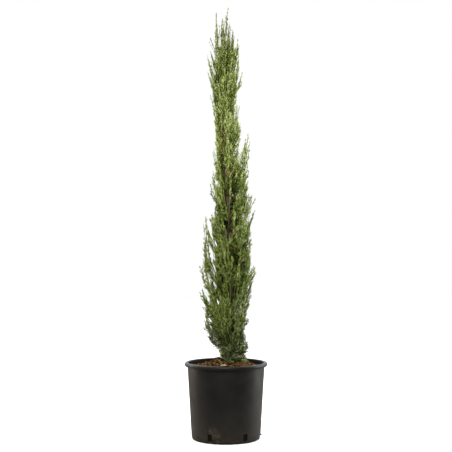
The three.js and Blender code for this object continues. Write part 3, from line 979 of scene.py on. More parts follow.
@dataclass(frozen=True)
class PottingMix:
    """The fill of the pot, heaped towards the trunk, under a layer of shredded bark."""

    pot: Pot
    plateau: float = 44.0
    edge_height: float = 250.0
    # Mounds on the heap as patches, then the crumbs' height, pitch and seed, and how deep all of it sits
    mounds: Rows = (
        (15, -22, 16 * 2 ** 0.5, 8, 16 * 2 ** 0.5),
        (8, 84, 14 * 2 ** 0.5, 4, 14 * 2 ** 0.5),
    )
    crumb_height: float = 2.2
    crumb_pitch: float = 9.0
    crumb_seed: float = 31.0
    sunk: float = 4.0
    gap: float = 0.4
    edge_gap: float = 1.0
    side_heights: tuple[float, ...] = (8, 12, 30, 110, 190)
    rings: int = 48
    columns: int = 144
    chips: int = 1300
    chip_sides: int = 6
    chip_edge: float = 9.0
    chip_jitter: float = 5.0
    chip_lengths: Range = (3.5, 12.0)
    chip_rarity: float = 2.2
    chip_widths: Range = (0.3, 0.65)
    chip_depths: Range = (1.4, 3.6)
    chip_corners: Range = (0.72, 1.2)
    chip_top: float = 0.8
    chip_lifts: Range = (1.0, 5.5)
    chip_pitch_deg: float = 34.0
    chip_roll_deg: float = 28.0
    chip_tints: tuple[float, ...] = (0.34, 0.5, 0.72, 0.92)
    chip_sharp_deg: float = 30.0
    # The one pale chip in front: place, half length, half width, yaw, roll and lift
    pale_at: Range = (-6, -75)
    pale_length: float = 15.0
    pale_width: float = 4.5
    pale_yaw: float = 0.1
    pale_roll: float = 0.22
    pale_lift: float = 7.0

    def height(self, x: Array, y: Array) -> Array:
        """Gives the heap's height: a flat top, a smooth slope, two mounds beside the trunk and crumbs.

        Args:
            x: Places to the right.
            y: Places to the back.

        Returns:
            Heights over the floor.
        """
        slope = smoothstep(np.hypot(x, y), self.plateau, self.pot.base_radius)
        heap = lerp(MULCH_TOP, self.edge_height, slope) + patches(self.mounds, x, y)
        crumbs = ripple(x / self.crumb_pitch, y / self.crumb_pitch, self.crumb_seed)
        return heap + self.crumb_height * crumbs - self.sunk

    def build(self) -> list[Object]:
        """Makes the fill and its chips, and returns both pieces."""
        return [self.build_fill(), self.build_chips()]

    def build_fill(self) -> Object:
        """Makes the closed fill: the heap as a height field on rings, then the side and the bottom."""
        angle = circle(self.columns)
        bottom = self.pot.wall + self.gap
        wall = self.pot.inner_radius(self.side_heights) - self.gap
        section = np.stack([
            np.append(self.pot.base_radius - self.pot.rounding, wall),
            np.append(bottom, self.side_heights),
        ], axis=-1)
        edge = self.pot.inner_radius(self.edge_height) - self.gap - self.edge_gap
        flat = polar(angle, np.linspace(edge, edge / self.rings, self.rings)[:, None])
        top = flat + self.height(flat[..., 0], flat[..., 1])[..., None] * UP
        grid = np.concatenate([lathed(section, angle), top])
        poles = np.append(bottom, self.height(np.zeros(1), np.zeros(1)))[:, None] * UP
        rows, count = grid.shape[:2]
        return make_piece(
            "potting_mix", ["potting_mix"], "potting_mix_fill",
            np.concatenate([grid.reshape(-1, 3), poles]),
            [ring_faces(rows, count).reshape(-1, 4), pole_fans(rows, count)],
            [POTTING_SOIL.material(), SHADE_PAINTED_SOIL.material()],
            # The side of the fill, seen through the drain slots, and its bottom take the near-black mix:
            # painted shade.
            tints=np.concatenate([
                np.repeat(np.arange(rows - 1) < len(section), count), np.repeat([True, False], count),
            ]),
        )

    def build_chips(self) -> Object:
        """Strews bark chips: slabs of six uneven sides with a smaller top, tilted on the heap's slope.

        Returns:
            The chips as one piece, with their tints as material slots.
        """
        item = np.arange(self.chips)
        edge = self.pot.inner_radius(self.edge_height) - self.chip_edge
        middle = polar(item * GOLDEN_ANGLE, edge * np.sqrt((item + 0.5) / self.chips))[:, :2]
        middle = middle + self.chip_jitter * (chances(item, 1, 2) - 0.5)
        pale = item == np.argmin(np.hypot(*(middle - self.pale_at).T))
        length = lerp(*self.chip_lengths, chance(item, 3) ** self.chip_rarity)
        width = length * drawn(self.chip_widths, item, 4)
        length, width = np.where(pale, self.pale_length, length), np.where(pale, self.pale_width, width)
        corner = np.arange(self.chip_sides)
        wobble = drawn(self.chip_corners, item[:, None] * (self.chip_sides + 1) + corner, 6)
        angle = 2.0 * np.pi * (corner + 0.5) / self.chip_sides
        flat = np.stack([
            length[:, None] * np.cos(angle) * wobble, width[:, None] * np.sin(angle) * wobble, 0.0 * wobble,
        ], axis=-1)
        half_depth = drawn(self.chip_depths, item, 5)[:, None, None] / 2.0 * UP
        slab = np.concatenate([flat - half_depth, flat * self.chip_top + half_depth], axis=1)
        pitch = np.radians(lerp(-self.chip_pitch_deg, self.chip_pitch_deg, chance(item, 8)))
        roll = np.radians(lerp(-self.chip_roll_deg, self.chip_roll_deg, chance(item, 9)))
        slab = self.turned(
            slab,
            np.where(pale, self.pale_yaw, any_angle(item, 7)),
            np.where(pale, 0.0, pitch),
            np.where(pale, self.pale_roll, roll),
        )
        lift = np.where(pale, self.pale_lift, drawn(self.chip_lifts, item, 10))
        place = np.append(middle, (self.height(*middle.T) + lift)[:, None], axis=-1)
        first = 2 * self.chip_sides * item[:, None]
        upper = first + self.chip_sides
        after = (corner + 1) % self.chip_sides
        fan = np.arange(1, self.chip_sides - 1)
        sides = np.stack([first + corner, first + after, upper + after, upper + corner], axis=-1)
        top = np.stack([upper + 0 * fan, upper + fan, upper + fan + 1], axis=-1)
        bottom = np.stack([first + 0 * fan, first + fan + 1, first + fan], axis=-1)
        tint = np.searchsorted(self.chip_tints, chance(item, 11))
        tint = np.where(pale, len(ChipTint) - 1, tint)
        return make_piece(
            "potting_mix", ["potting_mix"], "bark_chips",
            (slab + place[:, None]).reshape(-1, 3),
            [sides.reshape(-1, 4), top.reshape(-1, 3), bottom.reshape(-1, 3)],
            [chip.material() for chip in ChipTint],
            tints=np.concatenate([np.repeat(tint, block.shape[1]) for block in (sides, top, bottom)]),
            crease_deg=self.chip_sharp_deg,
        )

    @staticmethod
    def turned(slabs: Array, yaw: Array, pitch: Array, roll: Array) -> Array:
        """Turns each slab about its length, then its width, then the upright.

        Args:
            slabs: Points, n by k by 3.
            yaw: Angles about the upright.
            pitch: Angles about the width.
            roll: Angles about the length.

        Returns:
            Turned points.
        """
        x, y, z = np.moveaxis(slabs, -1, 0)
        cr, sr = np.cos(roll)[:, None], np.sin(roll)[:, None]
        y, z = y * cr - z * sr, y * sr + z * cr
        cp, sp = np.cos(pitch)[:, None], np.sin(pitch)[:, None]
        x, z = x * cp + z * sp, z * cp - x * sp
        cy, sy = np.cos(yaw)[:, None], np.sin(yaw)[:, None]
        return np.stack([x * cy - y * sy, x * sy + y * cy, z], axis=-1)


# Wood


@dataclass(frozen=True)
class Wood:
    """Trunk, main boughs and the stems of all shoots, with bark in fibrous ridges."""

    crown: Crown
    # The bark's ridges: height, number round the stem, how much they wander, and climb in one radian
    ridges: Rows = ((0.5, 4.0, 3.0, np.inf), (0.35, 7.0, -4.0, 31.0), (0.3, 11.0, 0.0, 17.0))
    # Their slow and quick wander: amount, climb in one radian and multiple of the seed
    wanders: Rows = ((0.5, 61.0, 1.0), (0.3, 23.0, 2.0))
    breaks: float = 0.25
    break_pitch: float = 13.0
    trunk_foot: float = 256.0
    trunk_rings: int = 240
    trunk_sides: int = 30
    trunk_seed: float = 0.7
    trunk_ridge: float = 0.9
    trunk_ridge_share: float = 0.11
    bough_span: Range = (0.04, 0.36)
    bough_rings: int = 14
    bough_sides: int = 12
    bough_radius: float = 5.0
    bough_seed: float = 1.9
    bough_ridge: float = 0.35
    bough_length: float = 400.0
    bough_shift: float = 90.0
    stem_span: Range = (0.02, 0.6)
    stem_rings: int = 12
    stem_sides: int = 6
    stem_radius: float = 3.4
    stem_share: float = 0.6
    stem_tip: float = 1.2
    stem_taper: float = 0.8

    def relief(self, height: Array, angle: Array, seed: float) -> Array:
        """Gives the bark's relief: long ridges that wander round the stem as they climb, and break.

        Args:
            height: Heights along the stem.
            angle: Angles round it.
            seed: Number that picks the ridges.

        Returns:
            Field of about -1 to 1.
        """
        wander = sum(amount * np.sin(height / climb + part * seed) for amount, climb, part in self.wanders)
        total = sum(
            amount * np.sin(count * angle + swing * wander + height / climb)
            for amount, count, swing, climb in self.ridges
        )
        broken = np.sin(height / self.break_pitch + 3.0 * np.sin(2.0 * angle))
        return total * (1.0 - self.breaks + self.breaks * broken)

    def build(self) -> list[Object]:
        """Makes the trunk, the boughs and the stems, and returns the three pieces."""
        bark = FIBROUS_BARK.material()
        return [self.build_trunk(bark), self.build_boughs(bark), self.build_stems(bark)]

    def build_trunk(self, bark: Material) -> Object:
        """Carries a ridged round section up the trunk's line."""
        height = np.linspace(self.trunk_foot, self.crown.trunk_tip, self.trunk_rings)
        radius = self.crown.trunk_radius(np.maximum(height, MULCH_TOP))[:, None]
        ridge = np.minimum(self.trunk_ridge, self.trunk_ridge_share * radius)
        radius = radius + ridge * self.relief(height[:, None], circle(self.trunk_sides), self.trunk_seed)
        to_the_back = np.array([[0.0, 1.0, 0.0]])
        points, faces = swept_tubes(
            self.crown.trunk_axis(height)[None], radius[None], self.trunk_sides, to_the_back
        )
        return make_piece("bark", ["trunk"], "trunk_bark", points, faces, [bark])

    def build_boughs(self, bark: Material) -> Object:
        """Carries ridged sections along the main boughs, from inside the trunk into their foliage."""
        shoots = self.crown.shoots
        index = np.flatnonzero(np.array([tier.boughs for tier in TIERS])[shoots.level])
        t = np.linspace(*self.bough_span, self.bough_rings)
        paths = self.crown.shoot_path(index[:, None], t[None])
        radius = lerp(self.bough_radius, self.stem_radius, np.linspace(0.0, 1.0, len(t)))[:, None]
        place = self.bough_length * t[:, None] + self.bough_shift * index[:, None, None]
        ridge = self.bough_ridge * self.relief(place, circle(self.bough_sides), self.bough_seed)
        points, faces = swept_tubes(paths, radius + ridge, self.bough_sides, shoots.across[index])
        nodes = [f"bough_{shoots.names[i]}" for i in index]
        return make_piece("bark", nodes, "main_boughs", points, faces, [bark])

    def build_stems(self, bark: Material) -> Object:
        """Carries slim sections along the stems of all shoots, from the trunk to beyond their middle."""
        shoots = self.crown.shoots
        t = np.linspace(*self.stem_span, self.stem_rings)
        paths = self.crown.shoot_path(np.arange(len(shoots.item))[:, None], t[None])
        start = np.minimum(self.stem_radius, self.stem_share * self.crown.trunk_radius(shoots.root))
        radius = lerp(start[:, None], self.stem_tip, np.linspace(0.0, 1.0, len(t)) ** self.stem_taper)
        points, faces = swept_tubes(paths, radius, self.stem_sides, shoots.across)
        return make_piece("bark", [], "shoot_stems", points, faces, [bark])


# Foliage


class Through(Enum):
    """How deep an opening in the foliage goes: the depth at which the foliage starts again."""

    SKY = np.inf
    SHADE = 14.0
    TRUNK = -7.0


class Clearance(Enum):
    """Size of the openings, against their own, for whole sprays, single cords and plumes' axes."""

    SPRAY = 1.15
    CORD = 0.75
    AXIS = 0.36


@dataclass(frozen=True)
class Opening:
    """An oval gap in the foliage as seen from the front, at the trunk's depth."""

    through: Through
    x: float
    z: float
    half_width: float
    half_height: float
    lean: float = 0.0


# Gaps by their depth: across, height, half width and half height of each, and how it leans to the right.
GAPS = {
    Through.SKY: (
        (-2.5, 1438, 3, 24),
        (-24, 1406, 5, 34),
        (16, 1426, 3.5, 15),
        (31, 1397, 5, 30),
        (-31, 1345, 4, 26),
        (-50, 1326, 3.5, 18, -0.2),
        (-47, 1370, 5, 20, -0.3),
        (-42, 1352, 5, 22, -0.15),
        (-43, 1300, 5, 20, -0.2),
        (-33, 1240, 3, 7),
        (55, 1035, 8, 44, 0.15),
        (52, 978, 6, 24, 0.1),
        (-33, 903, 3, 9),
        (60, 785, 5, 9),
        (-55, 735, 7, 18),
        (-42, 688, 9, 20, -0.35),
        (-48, 650, 8, 22, -0.35),
        (-44, 595, 8, 26, -0.2),
        (-61, 565, 6, 20, -0.1),
        (-38, 538, 7, 14, -0.3),
        (-28, 479, 5, 7),
        (-58, 416, 5, 8, -0.3),
    ),
    Through.TRUNK: ((-7, 925, 9, 28), (1, 850, 9.5, 32), (11, 757, 10.5, 60)),
    Through.SHADE: ((21, 511, 14, 30),),
}
OPENINGS = tuple(Opening(through, *row) for through, rows in GAPS.items() for row in rows)
SHADED_OPENINGS = tuple(gap for gap in OPENINGS if gap.through is not Through.SKY)


def is_clear(points: Array, clearance: Clearance, openings: tuple[Opening, ...] = OPENINGS) -> Array:
    """Tells which points lie outside all openings, seen along the lines of sight from the front.

    An opening's edge wavers by a field of waves, so that it is ragged as gaps between sprays are.

    Args:
        points: Points, by 3 along the last axis.
        clearance: Size of the openings against their own.
        openings: The openings.

    Returns:
        True for each point that may hold foliage.
    """
    pitch_x, pitch_z, seed, raggedness = 4.0, 6.0, 77.0, 0.5
    x, y, z = np.moveaxis(points, -1, 0)
    sight = Studio.CAMERA_DISTANCE / (Studio.CAMERA_DISTANCE + y)
    x, z = x * sight, Studio.CAMERA_HEIGHT + (z - Studio.CAMERA_HEIGHT) * sight
    waver = clearance.value * (1.0 + raggedness * ripple(x / pitch_x, z / pitch_z, seed))
    clear = np.ones(x.shape, bool)
    for gap in openings:
        dz = (z - gap.z) / gap.half_height
        dx = (x - gap.x - gap.lean * (z - gap.z)) / gap.half_width
        clear &= (dx * dx + dz * dz > waver * waver) | (y > gap.through.value)
    return clear


# Slender shoots that stand out on the outline: foot, belly and tip (across, back and up) and fullness.
OUTLINE_PLUMES = np.array([
    (-14, 2, 1290, -34, 0, 1390, -37, -2, 1503, 0.5),
    (-28, 0, 1400, -27, 0, 1420, -20, -2, 1443, 0.4),
    (-31, 0, 1390, -37, 2, 1415, -38, 2, 1444, 0.4),
    (-2, 3, 1340, -8, 4, 1410, -7, 4, 1474, 0.6),
    (6, -4, 1340, 7, -6, 1400, 12, -6, 1456, 0.6),
    (10, 0, 1300, 22, -2, 1365, 24, -4, 1428, 0.6),
    (10, 6, 1290, 26, 6, 1350, 29, 8, 1412, 0.6),
    (12, 4, 1260, 38, 4, 1320, 42, 2, 1405, 0.5),
    (-12, -6, 1290, -38, -6, 1350, -55, -4, 1415, 0.45),
    (-18, 0, 1230, -48, 2, 1275, -66, 4, 1348, 0.5),
    (-18, -6, 1240, -44, -6, 1290, -53, -6, 1356, 0.5),
    (-18, 4, 1180, -46, 4, 1225, -61, 6, 1287, 0.5),
    (22, 0, 1190, 42, 0, 1230, 57, -2, 1286, 0.4),
    (36, 0, 1222, 48, 0, 1234, 57, 0, 1258, 0.25),
    (24, -4, 880, 62, -8, 960, 82, -8, 1077, 0.45),
    (62, -6, 965, 66, -4, 1010, 66, -2, 1049, 0.4),
    (62, -6, 955, 74, -8, 1000, 83, -8, 1040, 0.4),
    (60, -6, 930, 72, -8, 975, 82, -8, 1009, 0.4),
    (28, 6, 900, 48, 4, 965, 53, 4, 1025, 0.4),
    (44, -4, 850, 68, -6, 905, 78, -8, 963, 0.5),
    (-12, -4, 880, -34, -6, 930, -39, -8, 1013, 0.45),
    (-14, 0, 800, -42, 0, 840, -55, 0, 890, 0.5),
    (46, 0, 740, 80, 0, 785, 93, 0, 851, 0.55),
    (50, 4, 700, 86, 4, 745, 100, 4, 801, 0.55),
    (-40, 2, 690, -46, 2, 740, -51, 2, 790, 0.55),
    (-46, -6, 580, -66, -8, 660, -66, -8, 766, 0.8),
    (-50, 2, 560, -76, 2, 640, -75, 2, 740, 0.8),
    (-50, -4, 540, -72, -6, 600, -79, -8, 688, 0.8),
    (-52, 4, 520, -72, 4, 580, -77, 4, 646, 0.7),
    (-48, -4, 500, -78, -6, 540, -88, -8, 600, 0.7),
    (-52, -4, 520, -68, -6, 560, -75, -8, 616, 0.7),
    (-44, 2, 430, -72, -2, 460, -82, -4, 518, 0.8),
    (-40, -4, 410, -62, -4, 435, -72, -6, 478, 0.7),
    (-36, 2, 390, -58, 2, 405, -68, 2, 441, 0.6),
    (-36, -4, 370, -60, -4, 385, -73, -4, 420, 0.6),
    (-24, 0, 330, -52, 0, 335, -62, 0, 358, 0.6),
    (50, -2, 540, 90, -2, 560, 102, -2, 610, 0.5),
    (56, 2, 530, 88, 2, 545, 100, 2, 578, 0.6),
    (50, -4, 430, 74, -4, 450, 79, -4, 483, 0.6),
    (48, 2, 380, 72, 2, 395, 76, 2, 424, 0.6),
    (44, -4, 290, 70, -4, 300, 76, -4, 334, 0.8),
    (8, -6, 1235, 34, -6, 1300, 41, -8, 1372, 0.8),
    (10, 4, 1220, 38, 6, 1275, 45, 6, 1345, 0.8),
    (8, -2, 1200, 38, -4, 1250, 44, -6, 1315, 0.8),
    (-16, 2, 1215, -44, 0, 1255, -60, 0, 1318, 0.6),
    (-16, -8, 1215, -40, -8, 1262, -50, -8, 1330, 0.6),
    (-14, 2, 830, -40, 0, 865, -48, -2, 925, 0.8),
    (44, -4, 650, 74, -6, 700, 82, -8, 768, 0.9),
    (46, 6, 625, 78, 6, 670, 84, 8, 735, 0.9),
    (46, 0, 590, 78, 0, 630, 83, 0, 695, 0.9),
    (44, 4, 470, 78, 4, 500, 87, 4, 545, 0.9),
    (-30, -8, 430, -66, -10, 452, -76, -12, 498, 0.9),
    (-26, 6, 380, -56, 6, 400, -66, 8, 430, 0.9),
    (-22, -8, 350, -50, -10, 372, -62, -12, 405, 0.9),
    (-26, -6, 360, -58, -6, 372, -71, -6, 398, 0.9),
    (-24, 8, 352, -52, 8, 362, -66, 10, 384, 0.9),
    (-24, 0, 395, -58, 0, 412, -75, 0, 452, 0.9),
    (-30, 4, 440, -64, 4, 462, -80, 4, 505, 0.9),
    (-18, 4, 315, -46, 4, 330, -54, 4, 352, 0.7),
    (-14, -8, 310, -40, -10, 330, -50, -12, 362, 0.7),
])
# Rows of the long branch on the right, whose shoots have no fork.
UNFORKED = slice(14, 19)


class Bundle:
    """Arrays that share their first axes, held as fields of a dataclass."""

    def some(self, chosen: Array) -> "Bundle":
        """Returns a bundle of the chosen rows of all arrays."""
        arrays = {key: value[chosen] for key, value in vars(self).items() if isinstance(value, Array)}
        return replace(self, **arrays)


@dataclass(frozen=True)
class Plumes(Bundle):
    """Many slender side shoots: the axes that carry the sprays."""

    foot: Array
    belly: Array
    tip: Array
    level: Array
    fullness: Array
    item: Array | None = None
    sway: float = 3.0
    sway_turns: float = 1.2

    @classmethod
    def joined(cls, groups: list["Plumes"], first_item: int = 10000) -> "Plumes":
        """Joins groups of plumes, which have no numbers yet, and numbers them in their order."""
        keys = ("foot", "belly", "tip", "level", "fullness")
        arrays = [np.concatenate([getattr(group, key) for group in groups]) for key in keys]
        return cls(*arrays, item=first_item + np.arange(len(arrays[0])))

    @property
    def slim(self) -> Array:
        """Tells which plumes are sparser than a full one, as a column."""
        return self.fullness[:, None] < 1.0

    def at(self, u: Array) -> Array:
        """Gives points along the axes: a curve that foot, belly and tip pull, plus a slow sideways wave.

        Args:
            u: Shares of the way along, plumes by places.

        Returns:
            Points, plumes by places by 3.
        """
        foot, belly, tip = self.foot[:, None], self.belly[:, None], self.tip[:, None]
        phase = any_angle(self.item, 31)[:, None]
        wave = self.sway * u * (np.sin(2.0 * np.pi * self.sway_turns * u + phase) - np.sin(phase))
        aside = polar(any_angle(self.item, 32)[:, None], wave)
        u = u[..., None]
        return (1.0 - u) ** 2 * foot + 2.0 * u * (1.0 - u) * belly + u ** 2 * tip + aside

    def ahead(self, u: Array) -> Array:
        """Gives the axes' directions a share u along them."""
        step = 0.02
        return unit(self.at(u + step) - self.at(u - step))


@dataclass(frozen=True)
class PlumePlan:
    """Plans the plumes on the shoots, on the leader and on the trunk, and those that mark the outline."""

    crown: Crown
    # Side shoots: spread round the stem, and where along it they spring and end
    spread: float = 1.05
    belly_spread: float = 0.85
    belly_jitter: float = 7.0
    feet: Range = (0.22, 0.5)
    tips: Range = (0.42, 0.87)
    tip_crowding: float = 0.55
    # Side shoots on the front and the back that stray beyond the rest
    stray_share: float = 0.12
    stray_facing: float = 0.5
    stray_tips: Range = (0.93, 1.02)
    stray_fullness: float = 0.75
    # The leader's shoots: heights of their parts from the lowest to the highest, and reach off its line
    leader_count: int = 6
    leader_feet: Range = (1310, 1420)
    leader_bellies: Range = (1350, 1470)
    leader_tips: Range = (1400, 1514)
    leader_belly_reach: Range = (9, 1)
    leader_tip_reach: Range = (9, 0)
    leader_fullness: float = 0.5
    # Shoots on the trunk, all the way up it, and a bunch low in front: roots and shares of the reach
    inner_count: int = 210
    inner_roots: Range = (285, 1340)
    inner_crowding: float = 1.3
    inner_least: float = 0.3
    inner_most: Fade = Fade(420, 700, 0.82, 0.62)
    inner_swing: float = 0.5
    inner_belly: Range = (0.6, 0.3)
    inner_lift: float = 20.0
    lobe_count: int = 26
    lobe_roots: Range = (335, 430)
    lobe_shares: Range = (0.55, 0.82)
    lobe_bearings_deg: Range = (225, 315)
    # The second shoot of a fork on the outline: how far aside and down from the first it ends
    fork_aside: tuple[float, ...] = (14, 14, 0)
    fork_drop: float = 26.0
    fork_drop_share: float = 0.35
    outline_climb: float = 110.0
    # Where along an axis it mustn't cross an opening
    places: tuple[float, float, int] = (0.1, 1.0, 10)

    def plan(self) -> Plumes:
        """Plans all plumes, and leaves out those that cross a shaded opening or end in any opening.

        They are numbered first, so that those left out don't change the rest.

        Returns:
            The plumes.
        """
        groups = [self.on_shoots(), self.on_leader(), self.on_trunk(), self.on_outline()]
        plumes = Plumes.joined(groups)
        places = plumes.at(np.tile(np.linspace(*self.places), (len(plumes.item), 1)))
        uncrossed = is_clear(places, Clearance.AXIS, SHADED_OPENINGS).all(axis=1)
        return plumes.some(uncrossed & is_clear(places[:, -1], Clearance.CORD))

    def tier_at(self, root: Array, shift: int) -> Array:
        """Returns the numbers of the tiers whose roots are next to heights, shifted up or down."""
        roots = np.array([tier.root for tier in TIERS])
        return np.clip(np.searchsorted(roots, root) + shift, 0, len(TIERS) - 1)

    def on_shoots(self) -> Plumes:
        """Plans the side shoots of all shoots.

        Each springs from its stem, bends off it by the golden angle and streams up along the flow.

        Returns:
            The side shoots, as many as the tier has on average, more where the crown reaches farther.
        """
        crown, shoots = self.crown, self.crown.shoots
        span = crown.reach_at(shoots.root + shoots.rise / 2.0, shoots.bearing)
        mean = (np.bincount(shoots.level, span) / np.bincount(shoots.level))[shoots.level]
        average = np.array([tier.plumes for tier in TIERS])[shoots.level]
        counts = np.rint(average * span / mean).astype(int)
        index = np.repeat(np.arange(len(counts)), counts)
        number = np.arange(len(index)) - np.repeat(np.cumsum(counts) - counts, counts)
        item = FIRST_SIDE + SIDE_NUMBERS * shoots.item[index] + number
        order = (number * PLASTIC_SHARE + chance(shoots.item[index], 4)) % 1.0
        turn = number * GOLDEN_ANGLE + any_angle(shoots.item[index], 5)
        stray = chance(item, 6) < self.stray_share
        stray &= np.abs(np.sin(shoots.bearing[index])) > self.stray_facing
        tip_t = lerp(*self.tips, order ** self.tip_crowding)
        tip_t = np.where(stray, lerp(*self.stray_tips, order), tip_t)
        foot_t = tip_t * drawn(self.feet, item, 7)
        spread = self.spread * np.sqrt((number + 0.5) / counts[index])
        belly = crown.beside_stem(index, lerp(foot_t, tip_t, 0.5), turn, self.belly_spread * spread)
        return Plumes(
            foot=crown.shoot_path(index, foot_t),
            belly=belly + self.belly_jitter * (chances(item, 11, 12, 13) - 0.5),
            tip=crown.beside_stem(index, tip_t, turn, spread),
            level=shoots.level[index],
            fullness=np.where(stray, self.stray_fullness, 1.0),
        )

    def on_leader(self) -> Plumes:
        """Plans the leader's side shoots, which stand round the trunk's line up to the tip."""
        number = np.arange(self.leader_count)
        share = number / (self.leader_count - 1)
        out = polar(number * GOLDEN_ANGLE)
        line = self.crown.trunk_axis
        belly_reach, tip_reach = lerp(*self.leader_belly_reach, share), lerp(*self.leader_tip_reach, share)
        return Plumes(
            foot=line(lerp(*self.leader_feet, share)),
            belly=line(lerp(*self.leader_bellies, share)) + out * belly_reach[:, None],
            tip=line(lerp(*self.leader_tips, share)) + out * tip_reach[:, None],
            level=np.full(len(number), len(TIERS) - 1),
            fullness=np.full(len(number), self.leader_fullness),
        )

    def on_trunk(self) -> Plumes:
        """Plans short shoots that spring from the trunk itself and bend up as the flow does."""
        number, lobe = np.arange(self.inner_count), np.arange(self.lobe_count)
        root = lerp(*self.inner_roots, ((number + 0.5) / self.inner_count) ** self.inner_crowding)
        share = lerp(self.inner_least, self.inner_most(root), chance(number, 41))
        lobe_bearing = np.radians(lerp(*self.lobe_bearings_deg, (lobe * PLASTIC_SHARE) % 1.0))
        root = np.append(root, lerp(*self.lobe_roots, (lobe + 0.5) / self.lobe_count))
        share = np.append(share, drawn(self.lobe_shares, lobe, 43))
        bearing = np.append(number * GOLDEN_ANGLE, lobe_bearing)
        lift = self.crown.climb * share ** self.crown.bend
        swing = self.inner_swing * (chance(np.arange(len(root)), 42) - 0.5)
        out, up = self.inner_belly
        return Plumes(
            foot=self.crown.trunk_axis(root),
            belly=self.crown.point(root + up * lift, bearing, out * share),
            tip=self.crown.point(root + lift + self.inner_lift, bearing + swing, share),
            level=self.tier_at(root, -1),
            fullness=np.ones(len(root)),
        )

    def on_outline(self) -> Plumes:
        """Sets the shoots that are marked on the outline, and once more those that fork."""
        rows = np.concatenate([OUTLINE_PLUMES, np.delete(OUTLINE_PLUMES, UNFORKED, axis=0)])
        foot, belly, tip = rows[:, 0:3], rows[:, 3:6], rows[:, 6:9]
        second = np.arange(len(rows)) >= len(OUTLINE_PLUMES)
        fork = chances(np.arange(len(rows)), 61, 62, 63)
        lowest = np.minimum(self.fork_drop, self.fork_drop_share * (tip - foot)[:, 2])
        drop = second * fork[:, 2] * lowest
        tip = tip + second[:, None] * (fork - 0.5) * self.fork_aside - drop[:, None] * UP
        return Plumes(foot, belly, tip, self.tier_at(tip[:, 2] - self.outline_climb, 0), rows[:, 9])


@dataclass(frozen=True)
class Sprays(Bundle):
    """Many sprays: the curves that carry the cords."""

    item: Array
    base: Array
    out: Array
    rise: Array
    length: Array
    fuzz: Array
    share: Array
    tone: Array
    bend: float = 0.65

    def at(self, v: Array) -> Array:
        """Gives the points a share v along: base + length * (v * out + bend * v^2 / 2 * (rise - out))."""
        v = v[..., None]
        out, turned = self.out[:, None], (self.rise - self.out)[:, None]
        curve = v * out + self.bend * v ** 2 / 2.0 * turned
        return self.base[:, None] + self.length[:, None, None] * curve

    def ahead(self, v: Array) -> Array:
        """Gives the curves' directions a share v along them."""
        return unit(self.out[:, None] + self.bend * v[..., None] * (self.rise - self.out)[:, None])


